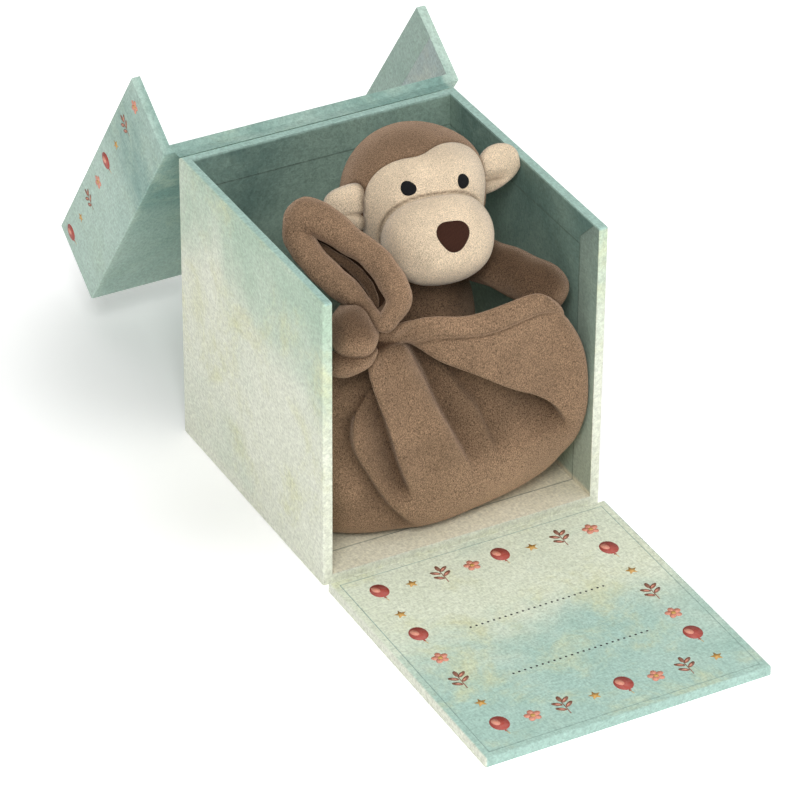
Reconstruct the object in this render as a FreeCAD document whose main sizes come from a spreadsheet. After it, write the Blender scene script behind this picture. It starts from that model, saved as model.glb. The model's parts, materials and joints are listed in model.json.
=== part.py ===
import FreeCAD, Part
import math
import os
import re
import Sketcher
from FreeCAD import Vector

# A keepsake gift box of wrapped greyboard with a drop-down front and a lid that folds over the back.
# A plush monkey comforter with a small blanket stands in it.
# Millimetres. Origin under the middle of the base, X to the right, Y to the back, Z up.

doc = FreeCAD.newDocument("keepsake_box")
sheet = doc.addObject("Spreadsheet::Sheet", "Sizes")

SIZES = {
    # The boards and their paper
    "board": 3.7,
    "paper": 0.4,
    "turn_in": 16,
    "edge_round": 0.8,
    "paper_seam": 0.1,
    # The box
    "box_width": 140,
    "box_depth": 140,
    "wall_top": 145.5,
    # The paper hinges
    "crease_gap": 0.3,
    "crease_slack": 0.15,
    # The front flap
    "flap_length": 142,
    "flap_clearance": 0.5,
    "flap_border": 3.5,
    # The lid
    "lid_clearance": 0.5,
    "skirt_depth": 40.5,
    "lid_border": 6,
    "lid_open": 235,
    # The stuffed head, which looks up and a little to the left
    "head_radius": 32.4,
    "head_back": 5,
    "head_height": 138,
    "head_turn": -6.7,
    "head_lean": 3.8,
    "head_tilt": -21.3,
    "fabric": 1.6,
    "soft_gap": 0.25,
    "wall_gap": 1.2,
    "face_half_width": 29.2,
    "face_lobe_radius": 20.2,
    "face_lobe_height": 4,
    "chin_drop": 24.3,
    "muzzle_half_width": 25,
    "muzzle_radius": 20.9,
    "muzzle_end_radius": 15,
    "muzzle_drop": 15.9,
    "muzzle_forward": 26.6,
    "nose_width": 16,
    "nose_drop": 11.4,
    "eye_diameter": 6.4,
    "eye_spacing": 25.8,
    "eye_rise": 7.9,
    "stitch_height": 0.7,
    "ear_radius": 11.5,
    "ear_half_thickness": 5,
    "ear_reach": 50.8,
    "ear_rise": 5.8,
    # The stuffed body and arms
    "neck_radius": 17,
    "body_radius": 28.5,
    "body_foot_radius": 22,
    "body_top": 112,
    "body_lift": 0.3,
    "arm_root_radius": 10,
    "arm_radius": 11.5,
    "paw_radius": 10.5,
    "shoulder_drop": 2,
    "left_shoulder_drop": 8,
    "paw_height": 107.5,
    "paw_set_back": 19,
    "left_paw_height": 115,
    "left_paw_inset": 20.5,
    # The blanket, gathered at the left paw and spread in folds
    "gather_height": 108,
    "gather_set_back": 13,
    "gather_inset": 29,
    "gather_radius": 7,
    "cloth_thickness": 7,
    "fold_height": 7.5,
    "belly": 5,
    "front_sway": 9,
    # The blanket's corner, turned over into a loop beside the head
    "loop_inset": 21.5,
    "loop_back": -9,
    "loop_top": 150,
    "loop_rise": 9,
    "loop_half_width": 11,
    "loop_radius": 6.6,
    # The fold of blanket under the left paw
    "under_radius": 6.4,
    "under_drop": 4,
    "under_set_back": 6,
}

for row, (name, value) in enumerate(SIZES.items(), 1):
    sheet.set(f"A{row}", name)
    sheet.set(f"B{row}", str(value))
    sheet.setAlias(f"B{row}", name)
doc.recompute()


def size(name):
    """The value of a named cell."""
    return float(sheet.get(name))


def cells(formula):
    """The formula with every size's name pointing at its cell."""
    return re.sub(r"[a-z_]+", lambda word: f"Sizes.{word[0]}" if word[0] in SIZES else word[0], formula)


def value_of(formula):
    """The number that a formula of sizes comes to."""
    return float(sheet.evalExpression(cells(formula)))


def new_body(label):
    """An empty body whose label names its file."""
    body = doc.addObject("PartDesign::Body", label)
    body.Label = label
    return body


def sketch_on(body, role, offset):
    """A sketch in the body, parallel to one of its origin planes."""
    plane = next(item for item in body.Origin.OriginFeatures if item.Role == role)
    sketch = body.newObject("Sketcher::SketchObject", f"{body.Label}_sketch")
    sketch.AttachmentSupport = [(plane, "")]
    sketch.MapMode = "FlatFace"
    sketch.setExpression("AttachmentOffset.Base.z", cells(offset))
    return sketch


def hold(sketch, line, x, y):
    """Ties the start of a line to its place, given as formulas."""
    for kind, formula in (("DistanceX", x), ("DistanceY", y)):
        number = sketch.addConstraint(Sketcher.Constraint(kind, -1, 1, line, 1, value_of(formula)))
        sketch.setExpression(f"Constraints[{number}]", cells(formula))


def polygon(sketch, corners):
    """A closed outline through corners, each a pair of formulas."""
    points = [Vector(value_of(x), value_of(y), 0) for x, y in corners]
    for start, end in zip(points, points[1:] + points[:1]):
        sketch.addGeometry(Part.LineSegment(start, end), False)
    for line in range(len(points)):
        after = (line + 1) % len(points)
        sketch.addConstraint(Sketcher.Constraint("Coincident", line, 2, after, 1))
    for line, (x, y) in enumerate(corners):
        hold(sketch, line, x, y)


def rectangle(x_low, x_high, y_low, y_high):
    """The corners of a rectangle."""
    return [(x_low, y_low), (x_high, y_low), (x_high, y_high), (x_low, y_high)]


def pad(body, corners, start, length, role="XY_Plane"):
    """Adds a straight pad of an outline to the body."""
    sketch = sketch_on(body, role, start)
    polygon(sketch, corners)
    feature = body.newObject("PartDesign::Pad", f"{body.Label}_pad")
    feature.Profile = sketch
    feature.setExpression("Length", cells(length))
    doc.recompute()
    return feature


def pocket(body, corners, start, length):
    """Cuts an outline out of the body, upwards from its start."""
    before = body.Shape.Volume
    sketch = sketch_on(body, "XY_Plane", start)
    polygon(sketch, corners)
    feature = body.newObject("PartDesign::Pocket", f"{body.Label}_pocket")
    feature.Profile = sketch
    feature.Reversed = True
    feature.setExpression("Length", cells(length))
    doc.recompute()
    if not body.Shape.Volume < before - 1e-6:
        raise RuntimeError(f"a pocket of {body.Label} cuts nothing")
    return feature


def round_edges(body, chosen):
    """Rounds the edges of the body's last feature that the test picks."""
    base = body.Tip
    names = [f"Edge{n}" for n, edge in enumerate(base.Shape.Edges, 1) if chosen(edge.BoundBox)]
    feature = body.newObject("PartDesign::Fillet", f"{body.Label}_round")
    feature.Base = (base, names)
    feature.setExpression("Radius", cells("edge_round"))
    doc.recompute()


def block(label, x, y, z):
    """A flat board or sheet between pairs of formulas."""
    body = new_body(label)
    pad(body, rectangle(*x, *y), z[0], f"( {z[1]} ) - ( {z[0]} )")
    return body


# Shared formulas of the box: outer faces, board faces and inner faces
PANEL = "( board + 2 * paper )"
HALF_W = "box_width / 2"
HALF_D = "box_depth / 2"
SKIN_W = f"( {HALF_W} - paper )"
SKIN_D = f"( {HALF_D} - paper )"
CORE_W = f"( {SKIN_W} - board )"
CORE_D = f"( {SKIN_D} - board )"
ROOM_W = f"( {HALF_W} - {PANEL} )"
ROOM_D = f"( {HALF_D} - {PANEL} )"
BASE_TOP = "( paper + board )"
FRONT_TURN = f"( turn_in - {HALF_D} )"
TOP_TURN = "( wall_top - turn_in )"


def walls_outline(outer_w, outer_d, inner_w, inner_d):
    """The plan of three walls round a space that is open at the front."""
    return [
        (f"-{outer_w}", f"-{outer_d}"),
        (f"-{inner_w}", f"-{outer_d}"),
        (f"-{inner_w}", inner_d),
        (inner_w, inner_d),
        (inner_w, f"-{outer_d}"),
        (outer_w, f"-{outer_d}"),
        (outer_w, outer_d),
        (f"-{outer_w}", outer_d),
    ]


def make_box():
    """The fixed tray: base, three walls, their wrap and their liners."""
    wall_z = (BASE_TOP, "wall_top - paper")
    block("base_board", (f"-{SKIN_W}", SKIN_W), (f"-{SKIN_D}", SKIN_D), ("paper", BASE_TOP))
    block("left_wall_board", (f"-{SKIN_W}", f"-{CORE_W}"), (f"-{SKIN_D}", SKIN_D), wall_z)
    block("right_wall_board", (CORE_W, SKIN_W), (f"-{SKIN_D}", SKIN_D), wall_z)
    block("back_wall_board", (f"-{CORE_W}", CORE_W), (CORE_D, SKIN_D), wall_z)

    wrap = new_body("box_wrap")
    pad(wrap, rectangle(f"-{HALF_W}", HALF_W, f"-{HALF_D}", HALF_D), "0", "wall_top")
    top = size("wall_top")
    round_edges(wrap, lambda box: box.ZLength > top - 1 or box.ZMin > top - 1)
    pocket(wrap, rectangle(f"-{ROOM_W}", ROOM_W, f"-{HALF_D}", ROOM_D), "0", "wall_top")
    pocket(wrap, walls_outline(SKIN_W, SKIN_D, CORE_W, CORE_D), "0", "wall_top - paper")
    pocket(wrap, rectangle(f"-{CORE_W}", CORE_W, FRONT_TURN, CORE_D), "0", TOP_TURN)
    pocket(wrap, rectangle(f"-{SKIN_W}", SKIN_W, f"-{HALF_D}", SKIN_D), "0", PANEL)

    liner_z = (f"{PANEL} + paper_seam", f"{TOP_TURN} - paper_seam")
    side_y = (f"{FRONT_TURN} + paper_seam", ROOM_D)
    block("left_wall_liner", (f"-{CORE_W}", f"-{ROOM_W}"), side_y, liner_z)
    block("right_wall_liner", (ROOM_W, CORE_W), side_y, liner_z)
    block("back_wall_liner", (f"-{ROOM_W}", ROOM_W), (ROOM_D, CORE_D), liner_z)
    block(
        "floor_liner",
        (f"-{ROOM_W}", ROOM_W),
        (f"{FRONT_TURN} + paper_seam", ROOM_D),
        (BASE_TOP, PANEL),
    )


# The crease of the front flap, in the middle of the sheet that runs on under the base
FLAP_CREASE_Y = f"( -{HALF_D} - {PANEL} - flap_clearance + paper / 2 )"
FLAP_NEAR = f"( {FLAP_CREASE_Y} - crease_gap )"
FLAP_FAR = f"( {FLAP_NEAR} - flap_length )"


def creased_tail(body, crease_y, crease_z, inner_y, half_width):
    """Adds the sheet's rounded end at a crease, from the panel's edge to the crease."""
    half = "paper / 2"
    sketch = sketch_on(body, "YZ_Plane", f"-{half_width}")
    y, z, inner = value_of(crease_y), value_of(crease_z), value_of(inner_y)
    radius = value_of(half)
    way = 1 if y > inner else -1
    bottom, top = Vector(y, z - radius, 0), Vector(y, z + radius, 0)
    far = Vector(y + way * radius, z, 0)
    sketch.addGeometry(Part.LineSegment(Vector(inner, z - radius, 0), bottom), False)
    sketch.addGeometry(Part.Arc(bottom, far, top), False)
    sketch.addGeometry(Part.LineSegment(top, Vector(inner, z + radius, 0)), False)
    sketch.addGeometry(
        Part.LineSegment(Vector(inner, z + radius, 0), Vector(inner, z - radius, 0)), False
    )
    hold(sketch, 0, inner_y, f"{crease_z} - {half}")
    hold(sketch, 2, crease_y, f"{crease_z} + {half}")
    feature = body.newObject("PartDesign::Pad", f"{body.Label}_tail")
    feature.Profile = sketch
    feature.setExpression("Length", cells(f"2 * {half_width}"))
    doc.recompute()


def make_base_sheet():
    """The paper under the base, up over its front edge and as a strip out to the flap's crease."""
    sheet_end = f"{FLAP_CREASE_Y} + paper / 2 + crease_slack"
    profile = [
        (sheet_end, "0"),
        (SKIN_D, "0"),
        (SKIN_D, "paper"),
        (f"-{SKIN_D}", "paper"),
        (f"-{SKIN_D}", BASE_TOP),
        (FRONT_TURN, BASE_TOP),
        (FRONT_TURN, PANEL),
        (f"-{HALF_D}", PANEL),
        (f"-{HALF_D}", "paper"),
        (sheet_end, "paper"),
    ]
    body = new_body("base_sheet")
    inner = f"( {ROOM_W} )"
    pad(body, profile, f"-{inner}", f"2 * {inner}", "YZ_Plane")
    pad(body, rectangle(f"-{SKIN_W}", SKIN_W, f"-{HALF_D}", SKIN_D), "0", "paper")
    pad(body, rectangle(f"-{SKIN_W}", SKIN_W, f"-{HALF_D}", f"-{SKIN_D}"), "paper", BASE_TOP)


def make_flap():
    """The drop-down front, lying open: board, wrap and the plain panel inside."""
    x = (f"-{SKIN_W}", SKIN_W)
    y = (f"{FLAP_FAR} + paper", f"{FLAP_NEAR} - paper")
    block("front_flap_board", x, y, ("paper", BASE_TOP))
    wrap = new_body("front_flap_wrap")
    pad(wrap, rectangle(f"-{HALF_W}", HALF_W, FLAP_FAR, FLAP_NEAR), "0", PANEL)
    near = value_of(FLAP_NEAR)
    thick = value_of(PANEL)
    round_edges(wrap, lambda box: box.ZMin > thick - 0.1 or (box.ZLength > 1 and box.YMax < near - 1))
    pocket(wrap, rectangle(*x, *y), "paper", "board")
    window = rectangle(
        f"-{HALF_W} + flap_border",
        f"{HALF_W} - flap_border",
        f"{FLAP_FAR} + flap_border",
        f"{FLAP_NEAR} - flap_border",
    )
    pocket(wrap, window, BASE_TOP, "paper + 1")
    creased_tail(wrap, FLAP_CREASE_Y, "paper / 2", f"{FLAP_NEAR} - paper / 2", SKIN_W)
    inset = "( flap_border + paper_seam )"
    block(
        "front_flap_liner",
        (f"-{HALF_W} + {inset}", f"{HALF_W} - {inset}"),
        (f"{FLAP_FAR} + {inset}", f"{FLAP_NEAR} - {inset}"),
        (BASE_TOP, PANEL),
    )


# The lid is drawn flat, outer face down, its hinged edge on the X axis, then turned to hang behind the box
SPINE = f"( {PANEL} )"
SPINE_Y = f"( {HALF_D} - paper / 2 )"
SPINE_Z = "( wall_top + paper / 2 + paper_seam )"
LID_HALF_W = f"( {HALF_W} + lid_clearance + {PANEL} )"
LID_LENGTH = f"( {SPINE_Y} - crease_gap + {HALF_D} + flap_clearance + 2 * {PANEL} + lid_clearance )"
LID_SKIN_W = f"( {LID_HALF_W} - paper )"
LID_CORE_W = f"( {LID_SKIN_W} - board )"
LID_ROOM_W = f"( {LID_HALF_W} - {PANEL} )"
LID_SKIN_L = f"( {LID_LENGTH} - paper )"
LID_CORE_L = f"( {LID_SKIN_L} - board )"
LID_ROOM_L = f"( {LID_LENGTH} - {PANEL} )"
SKIRT_TURN = "( skirt_depth - turn_in )"


def hang(body):
    """Turns a piece of the lid about the spine's outer crease to its open place."""
    body.setExpression("Placement.Rotation.Axis.x", "1")
    body.setExpression("Placement.Rotation.Axis.y", "0")
    body.setExpression("Placement.Rotation.Axis.z", "0")
    body.setExpression("Placement.Rotation.Angle", cells("180 - lid_open"))
    turn = "( ( 180 - lid_open ) * 1deg )"
    crease_y = f"{SPINE_Y} + {SPINE}"
    base_y = f"{crease_y} + crease_gap * cos{turn} + paper / 2 * sin{turn}"
    base_z = f"{SPINE_Z} + crease_gap * sin{turn} - paper / 2 * cos{turn}"
    body.setExpression("Placement.Base.y", cells(base_y))
    body.setExpression("Placement.Base.z", cells(base_z))


def skirts_outline(outer_w, outer_l, inner_w, inner_l, start):
    """The plan of the lid's three skirts, open at the hinged edge."""
    return [
        (f"-{outer_w}", start),
        (f"-{inner_w}", start),
        (f"-{inner_w}", inner_l),
        (inner_w, inner_l),
        (inner_w, start),
        (outer_w, start),
        (outer_w, outer_l),
        (f"-{outer_w}", outer_l),
    ]


def make_lid():
    """The lid: a top and three skirts of board, wrapped and lined."""
    skirt_z = (BASE_TOP, "skirt_depth - paper")
    along = ("paper", LID_SKIN_L)
    pieces = [
        block("lid_top_board", (f"-{LID_SKIN_W}", LID_SKIN_W), along, ("paper", BASE_TOP)),
        block("lid_left_skirt_board", (f"-{LID_SKIN_W}", f"-{LID_CORE_W}"), along, skirt_z),
        block("lid_right_skirt_board", (LID_CORE_W, LID_SKIN_W), along, skirt_z),
        block("lid_front_skirt_board", (f"-{LID_CORE_W}", LID_CORE_W), (LID_CORE_L, LID_SKIN_L), skirt_z),
    ]
    wrap = new_body("lid_wrap")
    pad(wrap, rectangle(f"-{LID_HALF_W}", LID_HALF_W, "0", LID_LENGTH), "0", "skirt_depth")
    deep = size("skirt_depth")

    def outer(box):
        return box.YMax > 1 and (box.ZLength > deep - 1 or box.ZMax < 1 or box.ZMin > deep - 1)

    round_edges(wrap, outer)
    pocket(wrap, rectangle(f"-{LID_ROOM_W}", LID_ROOM_W, "0", LID_ROOM_L), PANEL, "skirt_depth")
    pocket(wrap, rectangle(f"-{LID_SKIN_W}", LID_SKIN_W, *along), "paper", "board")
    skirts = skirts_outline(LID_SKIN_W, LID_SKIN_L, LID_CORE_W, LID_CORE_L, "paper")
    pocket(wrap, skirts, BASE_TOP, f"skirt_depth - paper - {BASE_TOP}")
    window = rectangle(
        f"-{LID_ROOM_W} + lid_border",
        f"{LID_ROOM_W} - lid_border",
        "lid_border",
        f"{LID_ROOM_L} - lid_border",
    )
    pocket(wrap, window, BASE_TOP, "paper + 1")
    strips = rectangle(f"-{LID_CORE_W}", LID_CORE_W, "paper", LID_CORE_L)
    pocket(wrap, strips, PANEL, f"{SKIRT_TURN} - {PANEL}")
    creased_tail(wrap, "-crease_gap", "paper / 2", "paper / 2", LID_SKIN_W)

    inset = "( lid_border + paper_seam )"
    top_x = (f"-{LID_ROOM_W} + {inset}", f"{LID_ROOM_W} - {inset}")
    top_y = (inset, f"{LID_ROOM_L} - {inset}")
    liner_z = (f"{PANEL} + paper_seam", f"{SKIRT_TURN} - paper_seam")
    side_y = ("paper + paper_seam", LID_ROOM_L)
    pieces += [
        wrap,
        block("lid_top_liner", top_x, top_y, (BASE_TOP, PANEL)),
        block("lid_left_skirt_liner", (f"-{LID_CORE_W}", f"-{LID_ROOM_W}"), side_y, liner_z),
        block("lid_right_skirt_liner", (LID_ROOM_W, LID_CORE_W), side_y, liner_z),
        block("lid_front_skirt_liner", (f"-{LID_ROOM_W}", LID_ROOM_W), (LID_ROOM_L, LID_CORE_L), liner_z),
    ]
    for piece in pieces:
        hang(piece)


def make_spine():
    """The paper strip between the back wall's top edge and the lid, level while the lid hangs open."""
    body = new_body("lid_spine_strip")
    end = f"( {SPINE_Y} + {SPINE} - paper / 2 - crease_slack )"
    start = f"( {SPINE_Y} + paper / 2 )"
    bottom, top = f"{SPINE_Z} - paper / 2", f"{SPINE_Z} + paper / 2"
    pad(body, rectangle(start, end, bottom, top), f"-{SKIN_W}", f"2 * {SKIN_W}", "YZ_Plane")
    creased_tail(body, SPINE_Y, SPINE_Z, start, SKIN_W)


# The stuffed toy. Each piece is drawn with an allowance, so that a larger one can cut room for itself


def soft(label, shape):
    """Adds a soft piece to the document."""
    feature = doc.addObject("Part::Feature", label)
    feature.Label = label
    feature.Shape = shape
    return feature


def arc(start, middle, end):
    """An edge through three points."""
    return Part.Arc(start, middle, end).toShape()


def line(start, end):
    """A straight edge."""
    return Part.LineSegment(start, end).toShape()


def turned(edges, start, direction):
    """A solid of revolution of a half profile, closed along its axis."""
    return Part.makeSolid(Part.Face(Part.Wire(edges)).revolve(start, direction, 360))


def cut(shape, *others):
    """The shape less all of the others."""
    return shape.cut(list(others))


def room():
    """The space inside the box that the toy keeps to."""
    gap = size("wall_gap")
    half_w = value_of(ROOM_W) - gap
    front = -value_of(HALF_D) + gap
    floor = value_of(PANEL) + size("body_lift")
    depth = value_of(ROOM_D) - gap - front
    return Part.makeBox(2 * half_w, depth, 2 * size("head_height"), Vector(-half_w, front, floor))


def head_place():
    """Where the head is and how it is turned."""
    across = value_of(ROOM_W) - size("wall_gap") - size("ear_reach")
    centre = Vector(across, size("head_back"), size("head_height"))
    turn = FreeCAD.Rotation(size("head_turn"), size("head_lean"), size("head_tilt"))
    return FreeCAD.Placement(centre, turn)


def on_head(shape):
    """Moves a shape drawn about the head's centre, face towards the front, to its place."""
    shape = shape.copy()
    shape.Placement = head_place().multiply(shape.Placement)
    return shape


def head_ball(allowance=0.0):
    """The stuffed ball of the head."""
    return Part.makeSphere(size("head_radius") + allowance)


def face_prism():
    """The outline of the face, two lobes over straight cheeks, pushed through the front of the head."""
    radius, rise = size("face_lobe_radius"), size("face_lobe_height")
    side = size("face_half_width")
    middle = side - radius
    dip = rise + math.sqrt(radius ** 2 - middle ** 2)
    chin = -size("chin_drop")
    deep = -2 * size("head_radius")
    slope = radius * math.sqrt(0.5)
    edges = []
    for way in (-1, 1):
        foot = Vector(way * side, deep, rise)
        shoulder = Vector(way * (middle + slope), deep, rise + slope)
        edges.append(arc(foot, shoulder, Vector(0, deep, dip)))
        edges.append(line(foot, Vector(way * middle * 2, deep, chin)))
    edges.append(line(Vector(-2 * middle, deep, chin), Vector(2 * middle, deep, chin)))
    outline = Part.Wire(Part.__sortEdges__(edges))
    return Part.Face(outline).extrude(Vector(0, -deep - size("fabric"), 0))


def muzzle_pod(allowance=0.0):
    """The stuffed muzzle, a blunt spindle across the face."""
    reach = size("muzzle_half_width") + allowance
    radius = size("muzzle_radius") + allowance
    end = size("muzzle_end_radius") + allowance
    out = reach - end
    sink = (out ** 2 - (radius - end) ** 2) / (2 * (radius - end))
    belly = radius + sink
    share = belly / (belly - end)
    meet = Vector(out * share, 0, sink * (share - 1))
    slope = math.atan2(meet.z, meet.x - out) / 2
    tip = Vector(out + end * math.cos(slope), 0, end * math.sin(slope))
    mirror = Vector(-meet.x, 0, meet.z)
    edges = [
        arc(Vector(reach, 0, 0), tip, meet),
        arc(meet, Vector(0, 0, radius), mirror),
        arc(mirror, Vector(-tip.x, 0, tip.z), Vector(-reach, 0, 0)),
        line(Vector(-reach, 0, 0), Vector(reach, 0, 0)),
    ]
    pod = turned(edges, Vector(0, 0, 0), Vector(1, 0, 0))
    pod.translate(Vector(0, -size("muzzle_forward"), -size("muzzle_drop")))
    return pod


def nose_patch():
    """The embroidered nose, a rounded triangle raised on the muzzle."""
    half, drop = size("nose_width") / 2, size("nose_drop")
    corner = half * 0.7
    top = -drop + half * 0.65
    tip = -drop - half
    deep = -3 * size("head_radius")
    left, right = Vector(-half, deep, -drop), Vector(half, deep, -drop)
    foot = Vector(0, deep, tip)
    crown = [Vector(way * corner, deep, top) for way in (-1, 1)]
    edges = [
        arc(left, Vector(-half * 0.95, deep, -drop + half * 0.4), crown[0]),
        arc(crown[0], Vector(0, deep, top + half * 0.12), crown[1]),
        arc(crown[1], Vector(half * 0.95, deep, -drop + half * 0.4), right),
        arc(right, Vector(half * 0.62, deep, -drop - half * 0.62), foot),
        arc(foot, Vector(-half * 0.62, deep, -drop - half * 0.62), left),
    ]
    prism = Part.Face(Part.Wire(edges)).extrude(Vector(0, -deep - size("muzzle_forward"), 0))
    skin = size("soft_gap") / 2
    return cut(muzzle_pod(size("stitch_height")), muzzle_pod(skin)).common(prism)


def eye_patch(way):
    """An embroidered eye on one side of the face."""
    across = way * size("eye_spacing") / 2
    radius = size("eye_diameter") / 2
    reach = 2 * size("head_radius")
    forward = -math.sqrt(size("head_radius") ** 2 - across ** 2 - size("eye_rise") ** 2)
    direction = Vector(across, forward, size("eye_rise"))
    column = Part.makeCylinder(radius, reach, Vector(0, 0, 0), direction)
    skin = size("soft_gap") / 2
    return cut(head_ball(size("stitch_height")), head_ball(skin)).common(column)


def ear_pad(way, allowance=0.0):
    """A stuffed ear: a thick round pad standing out from the side of the head."""
    radius = size("ear_radius") + allowance
    thick = size("ear_half_thickness") + allowance
    inner = radius - thick
    bulge = thick * math.sqrt(0.5)
    edges = [
        line(Vector(0, -thick, 0), Vector(0, thick, 0)),
        line(Vector(0, thick, 0), Vector(inner, thick, 0)),
        arc(Vector(inner, thick, 0), Vector(inner + bulge, bulge, 0), Vector(radius, 0, 0)),
        arc(Vector(radius, 0, 0), Vector(inner + bulge, -bulge, 0), Vector(inner, -thick, 0)),
        line(Vector(inner, -thick, 0), Vector(0, -thick, 0)),
    ]
    pad_shape = turned(edges, Vector(0, 0, 0), Vector(0, 1, 0))
    pad_shape.translate(Vector(way * (size("ear_reach") - size("ear_radius")), 0, size("ear_rise")))
    return pad_shape


def body_axis():
    """The foot of the toy's upright axis."""
    centre = head_place().Base
    return Vector(centre.x, centre.y, value_of(PANEL) + size("body_lift"))


def body_pear(allowance=0.0):
    """The stuffed body: narrow at the neck, fullest low down, flat where it stands."""
    foot, widest, neck = size("body_foot_radius"), size("body_radius"), size("neck_radius")
    height = size("body_top") - body_axis().z
    low = height * 0.12
    waist = height * 0.4
    grown = Vector(allowance, 0, 0)
    points = [
        Vector(foot, 0, 0),
        Vector(widest, 0, waist),
        Vector(neck, 0, height),
    ]
    rim = Vector(foot + (widest - foot) * 0.55, 0, low)
    shoulder = Vector(neck + (widest - neck) * 0.72, 0, waist + (height - waist) * 0.55)
    edges = [
        line(Vector(0, 0, 0), points[0] + grown),
        arc(points[0] + grown, rim + grown, points[1] + grown),
        arc(points[1] + grown, shoulder + grown, points[2] + grown),
        line(points[2] + grown, Vector(0, 0, height)),
        line(Vector(0, 0, height), Vector(0, 0, 0)),
    ]
    pear = turned(edges, Vector(0, 0, 0), Vector(0, 0, 1))
    pear.translate(body_axis())
    return pear


def limb(root, paw, radii, allowance=0.0):
    """A stuffed limb along a line: narrow at its root, swelling, with a round paw."""
    root_radius, full, end = [radius + allowance for radius in radii]
    length = (paw - root).Length
    edges = [
        line(Vector(0, 0, 0), Vector(root_radius, 0, 0)),
        arc(
            Vector(root_radius, 0, 0),
            Vector((root_radius + full) / 2, 0, length * 0.3),
            Vector(full, 0, length * 0.65),
        ),
        arc(
            Vector(full, 0, length * 0.65),
            Vector((full * 2 + end) / 3, 0, length * 0.85),
            Vector(end, 0, length),
        ),
        arc(
            Vector(end, 0, length),
            Vector(end * math.sqrt(0.5), 0, length + end * math.sqrt(0.5)),
            Vector(0, 0, length + end),
        ),
        line(Vector(0, 0, length + end), Vector(0, 0, 0)),
    ]
    shape = turned(edges, Vector(0, 0, 0), Vector(0, 0, 1))
    shape.Placement = FreeCAD.Placement(root, FreeCAD.Rotation(Vector(0, 0, 1), paw - root))
    return shape


def right_arm(allowance=0.0):
    """The arm that reaches to the blanket's far corner."""
    foot = body_axis()
    radii = [size("arm_root_radius"), size("arm_radius"), size("paw_radius")]
    height = size("body_top") - size("shoulder_drop")
    root = Vector(foot.x + size("neck_radius"), foot.y - size("neck_radius") / 2, height)
    edge = value_of(ROOM_W) - size("wall_gap") - size("paw_radius")
    paw = Vector(edge, -value_of(HALF_D) + size("paw_set_back"), size("paw_height"))
    return limb(root, paw, radii, allowance)


def left_arm(allowance=0.0):
    """The arm whose paw comes out over the gathered corner."""
    foot = body_axis()
    radii = [size("arm_root_radius"), size("arm_radius"), size("paw_radius")]
    height = size("body_top") - size("left_shoulder_drop")
    root = Vector(foot.x - size("neck_radius"), foot.y - size("neck_radius") / 2, height)
    across = -value_of(ROOM_W) + size("left_paw_inset")
    paw = Vector(across, -value_of(HALF_D) + size("paw_set_back"), size("left_paw_height"))
    return limb(root, paw, radii, allowance)


def gather():
    """The point that the blanket's folds spread from."""
    across = -value_of(ROOM_W) + size("gather_inset")
    return Vector(across, -value_of(HALF_D) + size("gather_set_back"), size("gather_height"))


def blanket_side():
    """How far the blanket spreads from the gathered corner to the right wall."""
    return value_of(ROOM_W) - size("wall_gap") - gather().x


def fold_section(angle, reach, lift):
    """One radial slice of the blanket: lift is 1 on the crest of a fold and -1 in a valley."""
    start = size("gather_radius")
    thick = size("cloth_thickness")
    crest = size("fold_height") * lift
    sway = size("front_sway") * math.cos(math.radians(angle)) / blanket_side()
    turn = FreeCAD.Rotation(Vector(0, 1, 0), -angle)

    def at(radius, height, inward=0.0):
        forward = sway * radius + height - inward
        return gather() + turn.multVec(Vector(radius, -forward, 0))

    middle = (start + reach) / 2
    swell = crest * 0.7 + size("belly")
    rim = reach + thick * 0.35
    return Part.Wire(
        [
            arc(at(start, 0), at(middle, swell), at(reach, crest)),
            arc(at(reach, crest), at(rim, crest, thick / 2), at(reach, crest, thick)),
            arc(at(reach, crest, thick), at(middle, swell, thick), at(start, 0, thick)),
            line(at(start, 0, thick), at(start, 0)),
        ]
    )


def blanket_fan():
    """The blanket's front: folds that fan out from the gathered corner to the floor."""
    side = blanket_side()
    drop = gather().z - value_of(PANEL) - size("body_lift")
    slices = [
        (5, side * 0.8, -0.2),
        (-9, side * 0.93, 0.3),
        (-22, side * 1.06, 0.3),
        (-31, side * 1.2, -1),
        (-43, side * 1.26, 0.3),
        (-56, drop * 1.2, -0.9),
        (-67, drop * 1.1, 0.4),
        (-79, drop * 1.04, -0.8),
        (-91, drop * 1.01, 0.3),
        (-104, drop * 1.0, -0.5),
    ]
    sections = [fold_section(*entry) for entry in slices]
    return Part.makeLoft(sections, True, True)


def oval(centre, direction, radius):
    """A round section of a rolled edge, square to its run."""
    turn = FreeCAD.Rotation(Vector(0, 0, 1), direction)

    def at(quarter):
        turned_by = math.radians(45 * quarter)
        return centre + turn.multVec(Vector(math.cos(turned_by), math.sin(turned_by), 0) * radius)

    return Part.Wire([arc(at(n), at(n + 1), at(n + 2)) for n in (0, 2, 4, 6)])


def roll(points, radii):
    """A soft roll of cloth through points, with the radius at each."""
    sections = []
    for number, (point, radius) in enumerate(zip(points, radii)):
        ahead = points[min(number + 1, len(points) - 1)]
        behind = points[max(number - 1, 0)]
        sections.append(oval(point, ahead - behind, radius))
    return Part.makeLoft(sections, True, False)


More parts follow.
